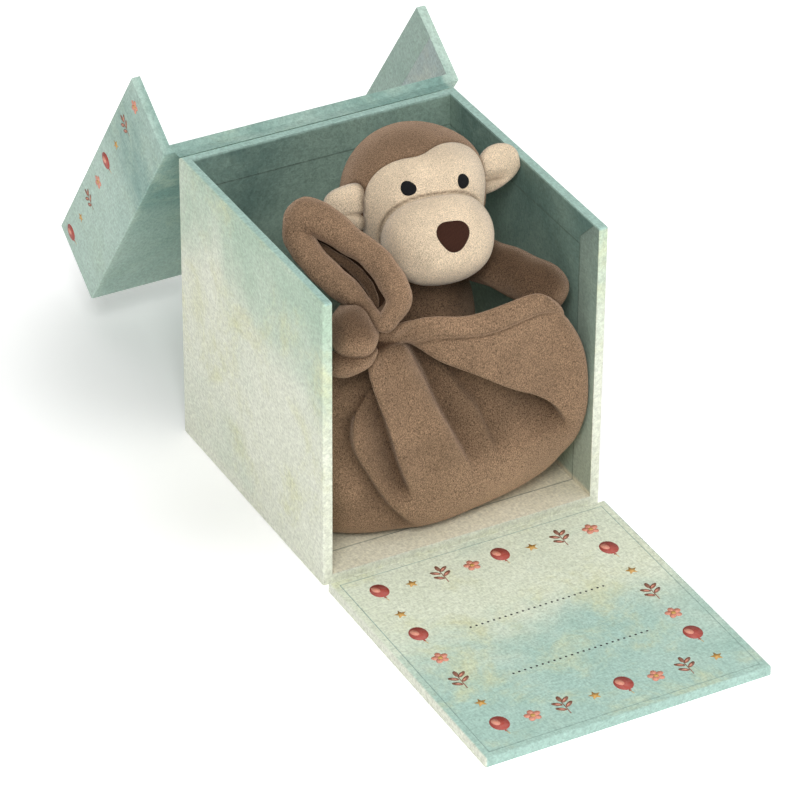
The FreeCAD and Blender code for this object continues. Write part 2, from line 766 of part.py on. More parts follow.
def corner_loop(allowance=0.0):
    """The blanket's corner, turned over into a long round-ended loop up the left side of the box."""
    top = Vector(-value_of(ROOM_W) + size("loop_inset"), size("loop_back"), size("loop_top"))
    foot = gather() + Vector(0, 0, size("loop_rise"))
    way = (top - foot).normalize()
    half = size("loop_half_width")
    across = way.cross(Vector(0, way.z, -way.y)).normalize() * half
    high, low = top - way * half, foot + way * half
    edges = [
        line(low + across, high + across),
        arc(high + across, top, high - across),
        line(high - across, low - across),
        arc(low - across, foot, low + across),
    ]
    section = Part.Circle(low + across, way, size("loop_radius") + allowance)
    return Part.Wire(edges).makePipeShell([Part.Wire(section.toShape())], True, False)


def under_roll(allowance=0.0):
    """The fold of blanket that hangs under the left paw."""
    radius = size("under_radius")
    start = gather() - Vector(0, 0, size("under_drop"))
    side = -value_of(ROOM_W) + size("wall_gap") + radius / 2
    finish = Vector(side, start.y + size("under_set_back"), start.z - size("under_drop"))
    points = [start + (finish - start) * step for step in (0, 0.5, 1)]
    return roll(points, [share * radius + allowance for share in (0.6, 1, 0.9)])


def make_toy():
    """The stuffed monkey and its blanket, each piece cut by the larger ones."""
    gap = size("soft_gap")
    face_skin = cut(head_ball(), head_ball(-size("fabric"))).common(face_prism())
    seat = cut(head_ball(gap), head_ball(-size("fabric") - gap)).common(face_prism())
    soft("head", on_head(cut(head_ball(), seat)))
    soft("face_panel", on_head(face_skin))
    soft("muzzle", on_head(cut(muzzle_pod(), head_ball(gap))))
    soft("nose", on_head(nose_patch()))
    soft("left_eye", on_head(eye_patch(-1)))
    soft("right_eye", on_head(eye_patch(1)))
    soft("left_ear", on_head(cut(ear_pad(-1), head_ball(gap))))
    soft("right_ear", on_head(cut(ear_pad(1), head_ball(gap))))

    head_room = on_head(head_ball(gap))
    muzzle_room = on_head(muzzle_pod(gap))
    body = cut(body_pear(), head_room, muzzle_room)
    soft("body", body)
    body_room = body_pear(gap)
    soft("left_arm", cut(left_arm(), head_room, muzzle_room, body_room))
    soft("right_arm", cut(right_arm(), head_room, muzzle_room, body_room))
    arms_room = [left_arm(gap), right_arm(gap)]
    blanket = cut(blanket_fan(), *arms_room).common(room())
    soft("blanket", blanket)
    ear_room = on_head(ear_pad(-1, gap))
    corner = cut(corner_loop(), head_room, muzzle_room, ear_room, blanket, *arms_room)
    soft("blanket_corner", corner.common(room()))
    under = cut(under_roll(), blanket, corner_loop(gap), *arms_room)
    soft("blanket_under_fold", under.common(room()))


make_box()
make_base_sheet()
make_flap()
make_spine()
make_lid()
make_toy()
doc.recompute()


def finished():
    """Every piece that stands by itself in the document."""
    kinds = ("PartDesign::Body", "Part::Feature")
    return [item for item in doc.Objects if item.TypeId in kinds]


def check_and_write():
    """Writes each piece to its file once the whole document is sound."""
    for item in doc.Objects:
        if "Invalid" in item.State or "Error" in item.State:
            raise RuntimeError(f"{item.Label} failed: {item.State}")
    for item in finished():
        if item.Shape.isNull() or not item.Shape.isValid() or item.Shape.Volume <= 0:
            raise RuntimeError(f"{item.Label} has no sound solid")
    os.makedirs("parts", exist_ok=True)
    for item in finished():
        item.Shape.exportStep(f"parts/{item.Label}.step")


check_and_write()
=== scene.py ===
"""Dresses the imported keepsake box: papers, printed border, plush monkey, blanket and stage."""

import json
import math

import bmesh
import bpy
import numpy as np
from mathutils import Matrix, Vector
from mathutils.bvhtree import BVHTree


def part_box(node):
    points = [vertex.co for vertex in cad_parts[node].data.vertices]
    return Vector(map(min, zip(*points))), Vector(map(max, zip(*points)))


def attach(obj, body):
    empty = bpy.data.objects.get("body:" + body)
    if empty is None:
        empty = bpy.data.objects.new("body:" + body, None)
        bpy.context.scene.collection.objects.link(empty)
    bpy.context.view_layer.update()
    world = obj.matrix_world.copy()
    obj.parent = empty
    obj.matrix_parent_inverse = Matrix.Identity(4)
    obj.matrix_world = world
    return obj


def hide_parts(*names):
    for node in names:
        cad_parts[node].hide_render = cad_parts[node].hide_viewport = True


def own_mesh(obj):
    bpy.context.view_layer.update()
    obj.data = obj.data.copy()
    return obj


bl_info = {
    "name": "Keepsake Box Dresser",
    "version": (1, 0, 0),
    "blender": (4, 5, 0),
    "location": "3D View > Sidebar > Keepsake",
    "description": "Papers, print, plush toy and stage for a wrapped keepsake box",
    "category": "Object",
}

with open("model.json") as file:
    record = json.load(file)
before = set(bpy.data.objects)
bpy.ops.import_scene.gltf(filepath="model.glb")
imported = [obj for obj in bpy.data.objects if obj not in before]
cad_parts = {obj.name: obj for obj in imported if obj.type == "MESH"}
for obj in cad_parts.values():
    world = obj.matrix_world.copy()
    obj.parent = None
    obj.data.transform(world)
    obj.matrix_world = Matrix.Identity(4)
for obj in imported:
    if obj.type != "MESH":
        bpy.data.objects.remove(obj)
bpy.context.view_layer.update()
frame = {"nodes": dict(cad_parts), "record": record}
MM = 0.001
TOY = "plush_monkey"
SLOTS = {row["node"]: row["material_slot"] for row in frame["record"]["subparts"]}
# Vertex notes on the plush, painted shade and painted light (the nap note), with the tones they
# multiply the pile's colour by
PAINTED_SHADE_NOTE, PAINTED_LIGHT_NOTE = "painted_shade", "nap"
PAINTED_SHADE_TONE = (0.14, 0.105, 0.08, 1)
PAINTED_LIGHT_TONE = (1.5, 1.52, 1.55, 1)
LINE_WIDTH, EDGE_WIDTH = 0.0006, 0.0012
STRIP_RISE = 0.004
PAPER_TOOTH = 1150


def tone_of(name, note, *rgb):
    """A property that holds an opaque colour."""
    return bpy.props.FloatVectorProperty(
        name=name, description=note, subtype="COLOR", size=4, min=0, max=1, default=(*rgb, 1))


def number_of(name, note, default, **limits):
    """A property that holds a number."""
    return bpy.props.FloatProperty(name=name, description=note, default=default, **limits)


def length_of(name, note, default, least=0):
    """A property that holds a length in metres."""
    return number_of(name, note, default, unit="LENGTH", min=least)


def angle_of(name, note, degrees):
    """A property that holds an angle."""
    return number_of(name, note, math.radians(degrees), subtype="ANGLE")


class KeepsakePaperSettings(bpy.types.PropertyGroup):
    """Colours and scale of the watercolour papers."""

    wall: tone_of("Wall paper", "Bare ground of the box's outer paper", 0.70, 0.72, 0.605)
    mint: tone_of("Mint wash", "Wash that drifts over every paper", 0.42, 0.545, 0.43)
    straw: tone_of("Straw blotch", "Warm blotches in the washes", 0.61, 0.62, 0.37)
    lid: tone_of("Lid paper", "Ground of the lid's paper", 0.44, 0.575, 0.50)
    teal: tone_of("Lid wash", "Deeper wash of the lid's paper", 0.165, 0.30, 0.265)
    flap: tone_of("Flap paper", "Ground of the flap's papers", 0.67, 0.72, 0.57)
    aqua: tone_of("Flap wash", "Wash of the flap's papers", 0.375, 0.545, 0.475)
    # The inner paper is darker than the outer papers, as painted shade
    shade: tone_of("Inner paper", "Ground of the paper high inside the box", 0.255, 0.36, 0.295)
    floor: tone_of("Floor paper", "Ground of the paper low inside the box", 0.68, 0.635, 0.485)
    mist: tone_of("Lid lining", "Ground of the linings in the lid", 0.50, 0.58, 0.57)
    rim: tone_of("Rim", "Paper along the top edges of the walls", 0.35, 0.51, 0.45)
    board: tone_of("Board", "Grey board under the papers", 0.42, 0.40, 0.36)
    tooth: length_of("Tooth", "Depth of the paper's embossed tooth", 0.00016)


class KeepsakePrintSettings(bpy.types.PropertyGroup):
    """Sizes and inks of the printed border."""

    brick: tone_of("Brick ink", "Main ink of the border", 0.40, 0.055, 0.035)
    rose: tone_of("Rose ink", "Light red ink of the border", 0.70, 0.27, 0.18)
    bark: tone_of("Bark ink", "Brown ink of the border", 0.25, 0.095, 0.05)
    ochre: tone_of("Ochre ink", "Yellow ink of the border", 0.60, 0.33, 0.07)
    rule: tone_of("Rule ink", "Ink of the dotted writing rules", 0.02, 0.022, 0.025)
    motif: length_of("Motif", "Height of a large motif", 0.0125)
    inset: length_of("Inset", "From the edge of a panel to the middle of its border", 0.0135)
    film: length_of("Film", "How far the ink stands on the paper", 0.00004)


class KeepsakePlushSettings(bpy.types.PropertyGroup):
    """Forms and colours of the plush toy."""

    brown: tone_of("Brown pile", "Middle tone of the brown plush", 0.23, 0.147, 0.09)
    cream: tone_of("Cream pile", "Middle tone of the cream plush", 0.665, 0.535, 0.385)
    black: tone_of("Eye thread", "Thread of the embroidered eyes", 0.006, 0.006, 0.007)
    cocoa: tone_of("Nose thread", "Thread of the embroidered nose", 0.032, 0.011, 0.006)
    head_radius: length_of("Head radius", "Radius of the stuffed head", 0.0324, 0.005)
    fold_share: number_of("Folds", "Share of their full depth that the blanket's folds have", 1,
                          min=0, max=1)
    cloth: length_of("Cloth", "Thickness of the blanket's double plush", 0.003, 0.0005)
    closed_height: number_of(
        "Closed height", "Share of its height that the toy keeps under the shut lid",
        0.835, min=0.1, max=1)


class KeepsakeStageSettings(bpy.types.PropertyGroup):
    """Camera and studio light."""

    azimuth: angle_of("Azimuth", "Camera's turn about the box", -28.367)
    elevation: angle_of("Elevation", "Camera's height angle", 33.159)
    roll: angle_of("Roll", "Camera's turn about its own axis", 0.442)
    distance: length_of("Distance", "From the camera to its target", 2.063309)
    target: bpy.props.FloatVectorProperty(
        name="Target", description="Point in the middle of the picture",
        subtype="XYZ", unit="LENGTH", default=(0.005384, 0, 0.034359))
    lens: number_of("Lens", "Focal length in millimetres", 204.4595)
    floor: tone_of("Floor", "Colour of the studio floor", 0.97, 0.97, 0.965)


def settings(name):
    """One of the scene's groups of settings."""
    return getattr(bpy.context.scene, "keepsake_" + name)


# Shader building

class Signal:
    """A number that varies over a surface: its arithmetic adds Math nodes to the shader tree."""

    def __init__(self, socket):
        self.socket = socket

    def math(self, operation, *others):
        """This number through a Math node, ahead of the others."""
        inputs = dict(enumerate((self, *others)))
        return Signal(add(self.socket.id_data, "ShaderNodeMath", inputs,
                          operation=operation).outputs[0])

    def __add__(self, other):
        return self.math("ADD", other)

    def __sub__(self, other):
        return self.math("SUBTRACT", other)

    def __mul__(self, other):
        return self.math("MULTIPLY", other)

    __radd__, __rmul__ = __add__, __mul__


def join(tree, value, socket):
    """Links a signal or a socket to a socket, or gives the socket a value."""
    if isinstance(value, Signal):
        value = value.socket
    if isinstance(value, bpy.types.NodeSocket):
        tree.links.new(value, socket)
    else:
        socket.default_value = value


def add(tree, kind, inputs=(), **attributes):
    """A node with its attributes set and its inputs joined to what they are given."""
    made = tree.nodes.new(kind)
    for name, value in attributes.items():
        setattr(made, name, value)
    for key, value in dict(inputs).items():
        join(tree, value, made.inputs[key])
    return made


def ramp(tree, value, low, high, smooth=True, first=0.0, last=1.0):
    """A number that goes from first to last as the value goes from low to high."""
    return Signal(add(tree, "ShaderNodeMapRange",
                      {"Value": value, "From Min": low, "From Max": high, "To Min": first,
                       "To Max": last},
                      interpolation_type="SMOOTHSTEP" if smooth else "LINEAR").outputs[0])


def noise(tree, vector, scale, detail=4.0, rough=0.6, distortion=0.0):
    """The height of a noise texture."""
    return Signal(add(tree, "ShaderNodeTexNoise",
                      {"Vector": vector, "Scale": scale, "Detail": detail, "Roughness": rough,
                       "Distortion": distortion}).outputs["Fac"])


def mix(tree, share, first, second, blend="MIX"):
    """Two colours mixed by a share."""
    return add(tree, "ShaderNodeMix", {0: share, 6: first, 7: second},
               data_type="RGBA", blend_type=blend, clamp_factor=True).outputs[2]


def moved(tree, vector, place=(0, 0, 0), turn=(0, 0, 0), scale=(1, 1, 1)):
    """A vector through a Mapping node."""
    return add(tree, "ShaderNodeMapping",
               {"Vector": vector, "Location": place, "Rotation": turn, "Scale": scale}).outputs[0]


def reckoned(tree, operation, first, second):
    """Two vectors, or a vector and its scale, through a Vector Math node."""
    key = "Scale" if operation == "SCALE" else 1
    made = add(tree, "ShaderNodeVectorMath", {0: first, key: second}, operation=operation)
    return made.outputs["Value" if operation == "DISTANCE" else "Vector"]


def own_coordinates(tree):
    """The piece's Object coordinates."""
    return add(tree, "ShaderNodeTexCoord").outputs["Object"]


def own_axes(tree, where):
    """The three numbers of a vector."""
    return [Signal(part) for part in add(tree, "ShaderNodeSeparateXYZ", {0: where}).outputs]


def group(name, **inputs):
    """A new shader group that puts out a colour and a height, and its input and output sockets."""
    tree = bpy.data.node_groups.new(name, "ShaderNodeTree")
    for socket, kind in inputs.items():
        tree.interface.new_socket(socket, in_out="INPUT", socket_type="NodeSocket" + kind)
    for socket, kind in (("Color", "Color"), ("Height", "Float")):
        tree.interface.new_socket(socket, in_out="OUTPUT", socket_type="NodeSocket" + kind)
    return tree, tree.nodes.new("NodeGroupInput").outputs, tree.nodes.new("NodeGroupOutput").inputs


def watercolour_group():
    """Drifting washes, warm blotches and fine pigment grain on toothed paper."""
    name = "Watercolour paper"
    if name in bpy.data.node_groups:
        return bpy.data.node_groups[name]
    tree, given, out = group(name, Vector="Vector", Ground="Color", Wash="Color", Blotch="Color",
                             Bias="Float", Scale="Float")
    vector, size = given["Vector"], Signal(given["Scale"])
    cloud = noise(tree, vector, size, 7, 0.62, 0.7)
    wash = ramp(tree, cloud + given["Bias"], 0.26, 0.82)
    pool = noise(tree, moved(tree, vector, (3.1, 1.7, 0.4)), size * 2.3, 6, 0.7, 0.4)
    warm = ramp(tree, pool, 0.48, 0.74) * 0.7
    bloom = noise(tree, moved(tree, vector, (0.7, 5.2, 2.9)), size * 6.0, 5, 0.75)
    colour = mix(tree, wash, given["Ground"], given["Wash"])
    colour = mix(tree, warm, colour, given["Blotch"])
    grey = add(tree, "ShaderNodeValToRGB", {"Fac": bloom}).outputs[0]
    colour = mix(tree, 0.30, colour, grey, "SOFT_LIGHT")
    warp = moved(tree, vector, turn=(0.5, 0.35, 0.6), scale=(1, 0.42, 1))
    weft = moved(tree, vector, turn=(-0.4, 0.5, -0.7), scale=(0.42, 1, 0.42))
    tooth = noise(tree, warp, PAPER_TOOTH, 2, 0.5) + noise(tree, weft, PAPER_TOOTH, 2, 0.5)
    grain = ramp(tree, tooth, 0.72, 1.28, False)
    join(tree, reckoned(tree, "SCALE", colour, ramp(tree, grain, 0, 1, False, 0.83, 1.17)),
         out["Color"])
    join(tree, grain, out["Height"])
    return tree


def pile_group():
    """Short brushed pile: dark roots, light tips and broad patches where the nap turns."""
    name = "Brushed pile"
    if name in bpy.data.node_groups:
        return bpy.data.node_groups[name]
    tree, given, out = group(name, Vector="Vector", Pile="Color", Root="Float", Tip="Float",
                             Scale="Float")
    vector, size = given["Vector"], Signal(given["Scale"])
    drift = add(tree, "ShaderNodeTexNoise", {"Vector": vector, "Scale": 70.0, "Detail": 2.0})
    push = reckoned(tree, "SCALE",
                    reckoned(tree, "SUBTRACT", drift.outputs["Color"], (0.5,) * 3), 0.0022)
    bent = reckoned(tree, "ADD", vector, push)
    combed = moved(tree, bent, turn=(0.2, -0.3, 0.2), scale=(1, 1, 0.5))
    strands, tufts = noise(tree, combed, size, 2, 0.5), noise(tree, bent, size * 0.42, 3, 0.6)
    height = ramp(tree, strands * 0.86 + tufts * 0.14, 0.34, 0.66, False)
    tone = ramp(tree, height, 0, 1, False, given["Root"], given["Tip"])
    nap = noise(tree, moved(tree, vector, (1.3, 0.2, 4.1)), 42.0, 3, 0.55)
    nap = ramp(tree, nap, 0.3, 0.7, False, 0.86, 1.14)
    join(tree, reckoned(tree, "SCALE", given["Pile"], tone * nap), out["Color"])
    join(tree, height, out["Height"])
    return tree


def blank_material(name, **values):
    """A material with one Principled shader of these values, its tree and the shader's inputs."""
    material = bpy.data.materials.new(name)
    material.use_nodes = True
    shader = material.node_tree.nodes["Principled BSDF"].inputs
    for socket, value in values.items():
        shader[socket.replace("_", " ")].default_value = value
    return material, material.node_tree, shader


def emboss(tree, shader, height, depth, strength=1.0):
    """Feeds a height to the shader's normal."""
    bump = add(tree, "ShaderNodeBump", {"Height": height, "Distance": depth, "Strength": strength})
    join(tree, bump.outputs[0], shader["Normal"])


def inside_mask(axes):
    """1 on the paper that looks into the box, 0 on its outer faces and edges."""
    across, along, upward = axes
    side, back, base = (sum(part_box(name), Vector()) / 2
                        for name in ("right_wall_board", "back_wall_board", "base_board"))
    low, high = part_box("right_wall_board")
    return math.prod((
        across.math("ABSOLUTE").math("LESS_THAN", side.x), along.math("LESS_THAN", back.y),
        along.math("GREATER_THAN", low.y), upward.math("GREATER_THAN", base.z),
        upward.math("LESS_THAN", high.z)))


def turn_ins(tree, axes):
    """Masks of the lines where the linings end, and of the front's turned-in strip, whose end is
    slanted."""
    _, along, upward = axes
    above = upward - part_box("back_wall_liner")[1].z
    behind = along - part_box("floor_liner")[0].y
    border = behind.math("MAXIMUM", above + behind - STRIP_RISE)
    level, upright = (ramp(tree, away.math("ABSOLUTE"), LINE_WIDTH, LINE_WIDTH / 6)
                      for away in (above, border))
    level = level * behind.math("GREATER_THAN", 0.0)
    return level.math("MAXIMUM", upright) * 0.6, border.math("LESS_THAN", 0.0)


def dimmed(colour, share):
    """A colour at a share of its brightness."""
    return [part * share for part in colour[:3]] + [1]


def risen(tree, axes, runs, amount=1.0):
    """An amount that rises along each (axis, low, high) run."""
    for axis, low, high in runs:
        amount = ramp(tree, axes[axis], low, high) * amount
    return amount


def paper_material(name, papers, bias=0.0, scale=11.0, turn=0.0, fades=(), rims=(), inner=None):
    """Watercolour paper of three papers' colours: its ground, its wash and its blotches.
    Each fade is an amount of wash and the runs that it rises along. Each rim is a colour and the
    runs over which it takes over, along an edge. inner is the paper inside the box: its ground low
    and high, its wash and the turned-in strip's colour."""
    material, tree, shader = blank_material(name, Roughness=0.62, Specular_IOR_Level=0.3)
    where = own_coordinates(tree)
    pattern = moved(tree, where, turn=(turn, 0, 0)) if turn else where
    axes = own_axes(tree, where)
    for amount, runs in fades:
        bias = risen(tree, axes, runs, amount) + bias
    layers = []
    if inner:
        low, high, deep, strip_tone = inner
        mask = inside_mask(axes)
        rise = ramp(tree, axes[2], 0.0055, 0.0085) * 0.75 + ramp(tree, axes[2], 0.02, 0.09) * 0.25
        papers = [mix(tree, mask, outside, mix(tree, rise, low, inside))
                  for outside, inside in zip(papers, (high, deep, high))]
        line, strip = turn_ins(tree, axes)
        # The lines where the linings end are painted shade, a dimmed copy of the high ground
        layers = [(strip_tone, mask * strip * 0.15), (dimmed(high, 0.35), mask * line)]
    layers += [(colour, risen(tree, axes, runs)) for colour, runs in rims]
    for colour, share in layers:
        papers = [mix(tree, share, paper, colour) for paper in papers]
    ground, wash, blotch = papers
    sheet = add(tree, "ShaderNodeGroup",
                {"Vector": pattern, "Bias": bias, "Ground": ground, "Wash": wash, "Blotch": blotch,
                 "Scale": scale}, node_tree=watercolour_group())
    join(tree, sheet.outputs["Color"], shader["Base Color"])
    emboss(tree, shader, sheet.outputs["Height"], settings("paper").tooth, 0.8)
    return material


def board_material():
    """Grey board: flecked pulp."""
    material, tree, shader = blank_material("Grey board", Roughness=0.9)
    board = settings("paper").board
    pulp = noise(tree, own_coordinates(tree), 900, 5, 0.7)
    join(tree, mix(tree, pulp, dimmed(board, 0.7), board), shader["Base Color"])
    emboss(tree, shader, pulp, 0.0002)
    return material


def plush_material(name, pile, root, tip, scale, sheen):
    """Short plush with a soft light edge, and painted shade and painted light from its vertex
    notes.
    """
    edge = [min(1, c * 2.4 + 0.15) for c in pile[:3]] + [1]
    material, tree, shader = blank_material(
        name, Roughness=0.95, Specular_IOR_Level=0.1,
        Sheen_Weight=sheen, Sheen_Roughness=0.38, Sheen_Tint=edge)
    fur = add(tree, "ShaderNodeGroup",
              {"Vector": own_coordinates(tree), "Pile": pile, "Root": root, "Tip": tip,
               "Scale": scale},
              node_tree=pile_group())
    colour = fur.outputs["Color"]
    # Painted shade and painted light, multiplied into the pile's colour
    for note, tone in ((PAINTED_SHADE_NOTE, PAINTED_SHADE_TONE), (PAINTED_LIGHT_NOTE, PAINTED_LIGHT_TONE)):
        share = add(tree, "ShaderNodeAttribute", attribute_name=note).outputs["Fac"]
        colour = mix(tree, share, colour, tone, "MULTIPLY")
    join(tree, colour, shader["Base Color"])
    emboss(tree, shader, fur.outputs["Height"], 0.0006, 0.45)
    return material


def thread_material(name, thread, turn):
    """Satin stitch: close rows of thread."""
    material, tree, shader = blank_material(name, Roughness=0.85, Specular_IOR_Level=0.15)
    rows = moved(tree, own_coordinates(tree), turn=turn)
    wave = add(tree, "ShaderNodeTexWave",
               {"Vector": rows, "Scale": 620.0, "Distortion": 2.5, "Detail": 2.0,
                "Detail Scale": 1.5},
               bands_direction="X").outputs["Fac"]
    light = [min(1, c * 2.6 + 0.004) for c in thread[:3]] + [1]
    join(tree, mix(tree, wave, thread, light), shader["Base Color"])
    emboss(tree, shader, wave, 0.0004)
    return material


def ink_material(name, ink, spread=0.06):
    """Watercolour ink: pigment that pools and thins."""
    material, tree, shader = blank_material(name, Roughness=0.6)
    where = own_coordinates(tree)
    pool = ramp(tree, noise(tree, where, 420, 4, 0.65), 0.3, 0.7)
    thin = [c + (1 - c) * spread for c in ink[:3]] + [1]
    join(tree, mix(tree, pool, ink, thin), shader["Base Color"])
    emboss(tree, shader, noise(tree, where, PAPER_TOOTH, 2, 0.5), settings("paper").tooth, 0.6)
    return material


# Mesh building, in millimetres

def ball(level):
    """A bmesh ball of radius 1."""
    form = bmesh.new()
    bmesh.ops.create_icosphere(form, subdivisions=level, radius=1.0)
    return form


def points_of(form):
    """The places of a bmesh's vertices."""
    return np.array([vertex.co for vertex in form.verts])


def set_points(form, points):
    """Moves a bmesh's vertices."""
    for vertex, point in zip(form.verts, points):
        vertex.co = point


def mark_painted_shading(form, values, note=PAINTED_SHADE_NOTE):
    """Notes at each vertex, from 0 to 1, how much painted shade darkens the pile there, or how
    much painted light lightens it."""
    layer = form.verts.layers.float.get(note) or form.verts.layers.float.new(note)
    for vertex, value in zip(form.verts, np.clip(values, 0, 1)):
        vertex[layer] = value


def shade_side(form, overall, more, side):
    """Paints shade into the pile of a piece: a little all over, and more where it looks up, for a
    side of 1, or down, for -1."""
    form.normal_update()
    away = np.array([vertex.normal.z for vertex in form.verts]) * -side
    mark_painted_shading(form, overall + more * smooth_step(0.2, -0.8, away))


def new_object(name, form):
    """An object made from a bmesh, in the scene."""
    piece = bpy.data.objects.new(name, bpy.data.meshes.new(name))
    form.to_mesh(piece.data)
    form.free()
    bpy.context.scene.collection.objects.link(piece)
    return piece


def finish_piece(name, form, materials, body):
    """Makes a bmesh in millimetres a smooth piece that rides on a body."""
    bmesh.ops.scale(form, vec=(MM, MM, MM), verts=form.verts)
    piece = new_object(name, form)
    piece.data.shade_smooth()
    for material in materials:
        piece.data.materials.append(material)
    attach(piece, body)
    return piece


def toy_piece(name, form, material, node):
    """Makes a bmesh a piece of the toy, in a node's place, and hides that node."""
    piece = finish_piece(name, form, [material], TOY)
    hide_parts(node)
    settings("plush").closed_height
    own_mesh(piece)
    return piece


def smooth_step(low, high, value):
    """0 below low, 1 above high, eased between."""
    share = np.clip((value - low) / (high - low), 0, 1)
    return share * share * (3 - 2 * share)


def bell(distance, width):
    """1 at no distance, fading over a width."""
    return np.exp(-(distance / width) ** 2)


def between(a, b, c, d, t):
    """The run from b to c of a smooth line through four knots, at shares t of it."""
    return b + 0.5 * t * (c - a + t * (2 * a - 5 * b + 4 * c - d + t * (3 * (b - c) + d - a)))


def spline(knots, shares, closed=False):
    """Points on a smooth run through knots, at shares from 0 to 1."""
    knots = np.asarray(knots, float)
    count = len(knots)
    runs = count if closed else count - 1
    along = np.clip(np.asarray(shares, float), 0, 1) * runs
    if closed:
        along = np.mod(along, runs)
    first = np.minimum(along.astype(int), runs - 1)

    def knot(number):
        if closed:
            return knots[np.mod(number, count)]
        inside = knots[np.clip(number, 0, count - 1)]
        inside = np.where((number < 0)[:, None], 2 * knots[0] - knots[1], inside)
        return np.where((number >= count)[:, None], 2 * knots[-1] - knots[-2], inside)

    return between(*(knot(first + step) for step in (-1, 0, 1, 2)), (along - first)[:, None])


def unit(vectors):
    """Vectors scaled to length 1."""
    return vectors / np.maximum(np.linalg.norm(vectors, axis=-1, keepdims=True), 1e-9)


SWEEP_STEP = 0.004


def swept(form, path, radii, facing=(0, -0.8, 0.6), flat=1.0, cap=6, closed=False):
    """Stretches a ball, or a ring if closed, along a smooth path with a radius at each knot.
    flat is the section's depth along facing, as a share of its width."""
    points = points_of(form)
    if closed:
        share = np.mod(np.arctan2(points[:, 1], points[:, 0]) / (2 * math.pi), 1)
        out = np.hypot(points[:, 0], points[:, 1]) - 1
        around = np.arctan2(points[:, 2], out)
        cover = np.ones(len(points))
    else:
        share = (points[:, 2] + 1) / 2
        around = np.arctan2(points[:, 1], points[:, 0])
        cover = np.sqrt(np.maximum(1 - np.abs(points[:, 2]) ** cap, 0))
    centre = spline(path, share, closed)
    run = unit(spline(path, share + SWEEP_STEP, closed) - spline(path, share - SWEEP_STEP, closed))
    facing = np.asarray(facing, float)
    face = unit(facing - run * (run @ facing)[:, None])
    across = np.cross(run, face)
    width = spline(np.asarray(radii, float)[:, None], share, closed)[:, 0] * cover
    set_points(form, centre + across * (width * np.cos(around))[:, None]
               + face * (flat * width * np.sin(around))[:, None])
    if not closed:
        # The sweep mirrors the ball, which turns its faces inwards
        bmesh.ops.reverse_faces(form, faces=form.faces)
    return form


def ring(segments, sides):
    """A bmesh ring of radius 1 with a round section, turned about Z."""
    form = bmesh.new()
    bmesh.ops.create_circle(form, segments=sides, radius=0.2)
    bmesh.ops.rotate(form, verts=form.verts, cent=(0, 0, 0),
                     matrix=Matrix.Rotation(math.pi / 2, 3, "X"))
    bmesh.ops.translate(form, verts=form.verts, vec=(1, 0, 0))
    bmesh.ops.spin(form, geom=form.verts[:] + form.edges[:], cent=(0, 0, 0), axis=(0, 0, 1),
                   angle=2 * math.pi, steps=segments, use_merge=True)
    bmesh.ops.remove_doubles(form, verts=form.verts, dist=1e-4)
    bmesh.ops.recalc_face_normals(form, faces=form.faces)
    return form


def ripple(form, amount, size, seed):
    """Small uneven swellings along the normals, as stuffing leaves."""
    form.normal_update()
    phase = np.array([[0.7, 1.9, 2.3], [2.1, 0.4, 1.1], [1.3, 2.7, 0.6]]) * seed
    turns = unit(np.array([[1, 0.6, -0.4], [-0.3, 1, 0.7], [0.5, -0.8, 1]]))
    points = points_of(form)
    wave = sum(np.sin(points @ turns[n] * (2 * math.pi / size) * (1 + 0.35 * n) + phase[n].sum())
               for n in range(3)) / 3
    normals = np.array([vertex.normal for vertex in form.verts])
    set_points(form, points + normals * (amount * wave)[:, None])


def thicken(form, thickness):
    """Closes an open sheet into one of a given thickness, behind its face."""
    form.normal_update()
    behind = {vertex.co.to_tuple(4): vertex.normal * -thickness for vertex in form.verts}
    made = bmesh.ops.extrude_face_region(form, geom=form.faces[:])
    for item in made["geom"]:
        if isinstance(item, bmesh.types.BMVert):
            item.co += behind[item.co.to_tuple(4)]


def relax(form, times, factor=0.5):
    """Evens a form out."""
    for _ in range(times):
        bmesh.ops.smooth_vert(form, verts=form.verts, factor=factor,
                              use_axis_x=True, use_axis_y=True, use_axis_z=True)


# The head's own frame: the face looks along -Y

HEAD_CENTRE = np.array([13.5, 5.0, 138.0])
HEAD_TURN = np.array(
    Matrix.Rotation(math.radians(-6.7), 3, "Z")
    @ Matrix.Rotation(math.radians(3.8), 3, "Y")
    @ Matrix.Rotation(math.radians(-21.3), 3, "X"))
FACE_LOBES = ((-9.5, 1.0, 18.8), (9.0, 3.6, 20.2))
FACE_RISE = 3.6
BROW = np.array([0.87, -0.12, 0.48])
FACE_SIDE, FACE_FOOT, FACE_BLEND = 29.2, -25.0, 2.2
FACE_TAPERS = (0.08, 0.22)
FACE_MIDDLE = (0.0, -5.0)
MUZZLE_PLACE = np.array([0, -26.6, -15.9])
MUZZLE_HALF, MUZZLE_ROUND, MUZZLE_POWER = 25.0, 20.9, 2.3
NOSE_RADIUS, NOSE_HEIGHT = 7.3, -12.2
EYE_RADIUS, EYE_SIDE, EYE_HEIGHT = 3.2, 12.9, 7.9
EAR_CLEARANCE = 0.4


def on_head(form):
    """Moves a bmesh from the head's own frame to its place, fuller at the brow's right."""
    points = points_of(form) @ HEAD_TURN.T
    fuller = 2.2 * bell(np.arccos(np.clip(unit(points) @ BROW, -1, 1)), 0.45)
    set_points(form, points * (1 + fuller / np.linalg.norm(points, axis=1).clip(1))[:, None]
               + HEAD_CENTRE)
    return form


def face_inset(x, z):
    """How far a point is inside the outline of the face: two lobes over tapering cheeks."""
    lobes = [(radius - np.hypot(x - across, z - rise)) / FACE_BLEND
             for across, rise, radius in FACE_LOBES]
    cheek = (FACE_SIDE - np.where(x < 0, FACE_TAPERS[0], FACE_TAPERS[1]) * (FACE_RISE - z)
             - np.abs(x))
    inset = np.where(z > FACE_RISE, FACE_BLEND * np.logaddexp(*lobes), cheek)
    return np.minimum(inset, z - FACE_FOOT)


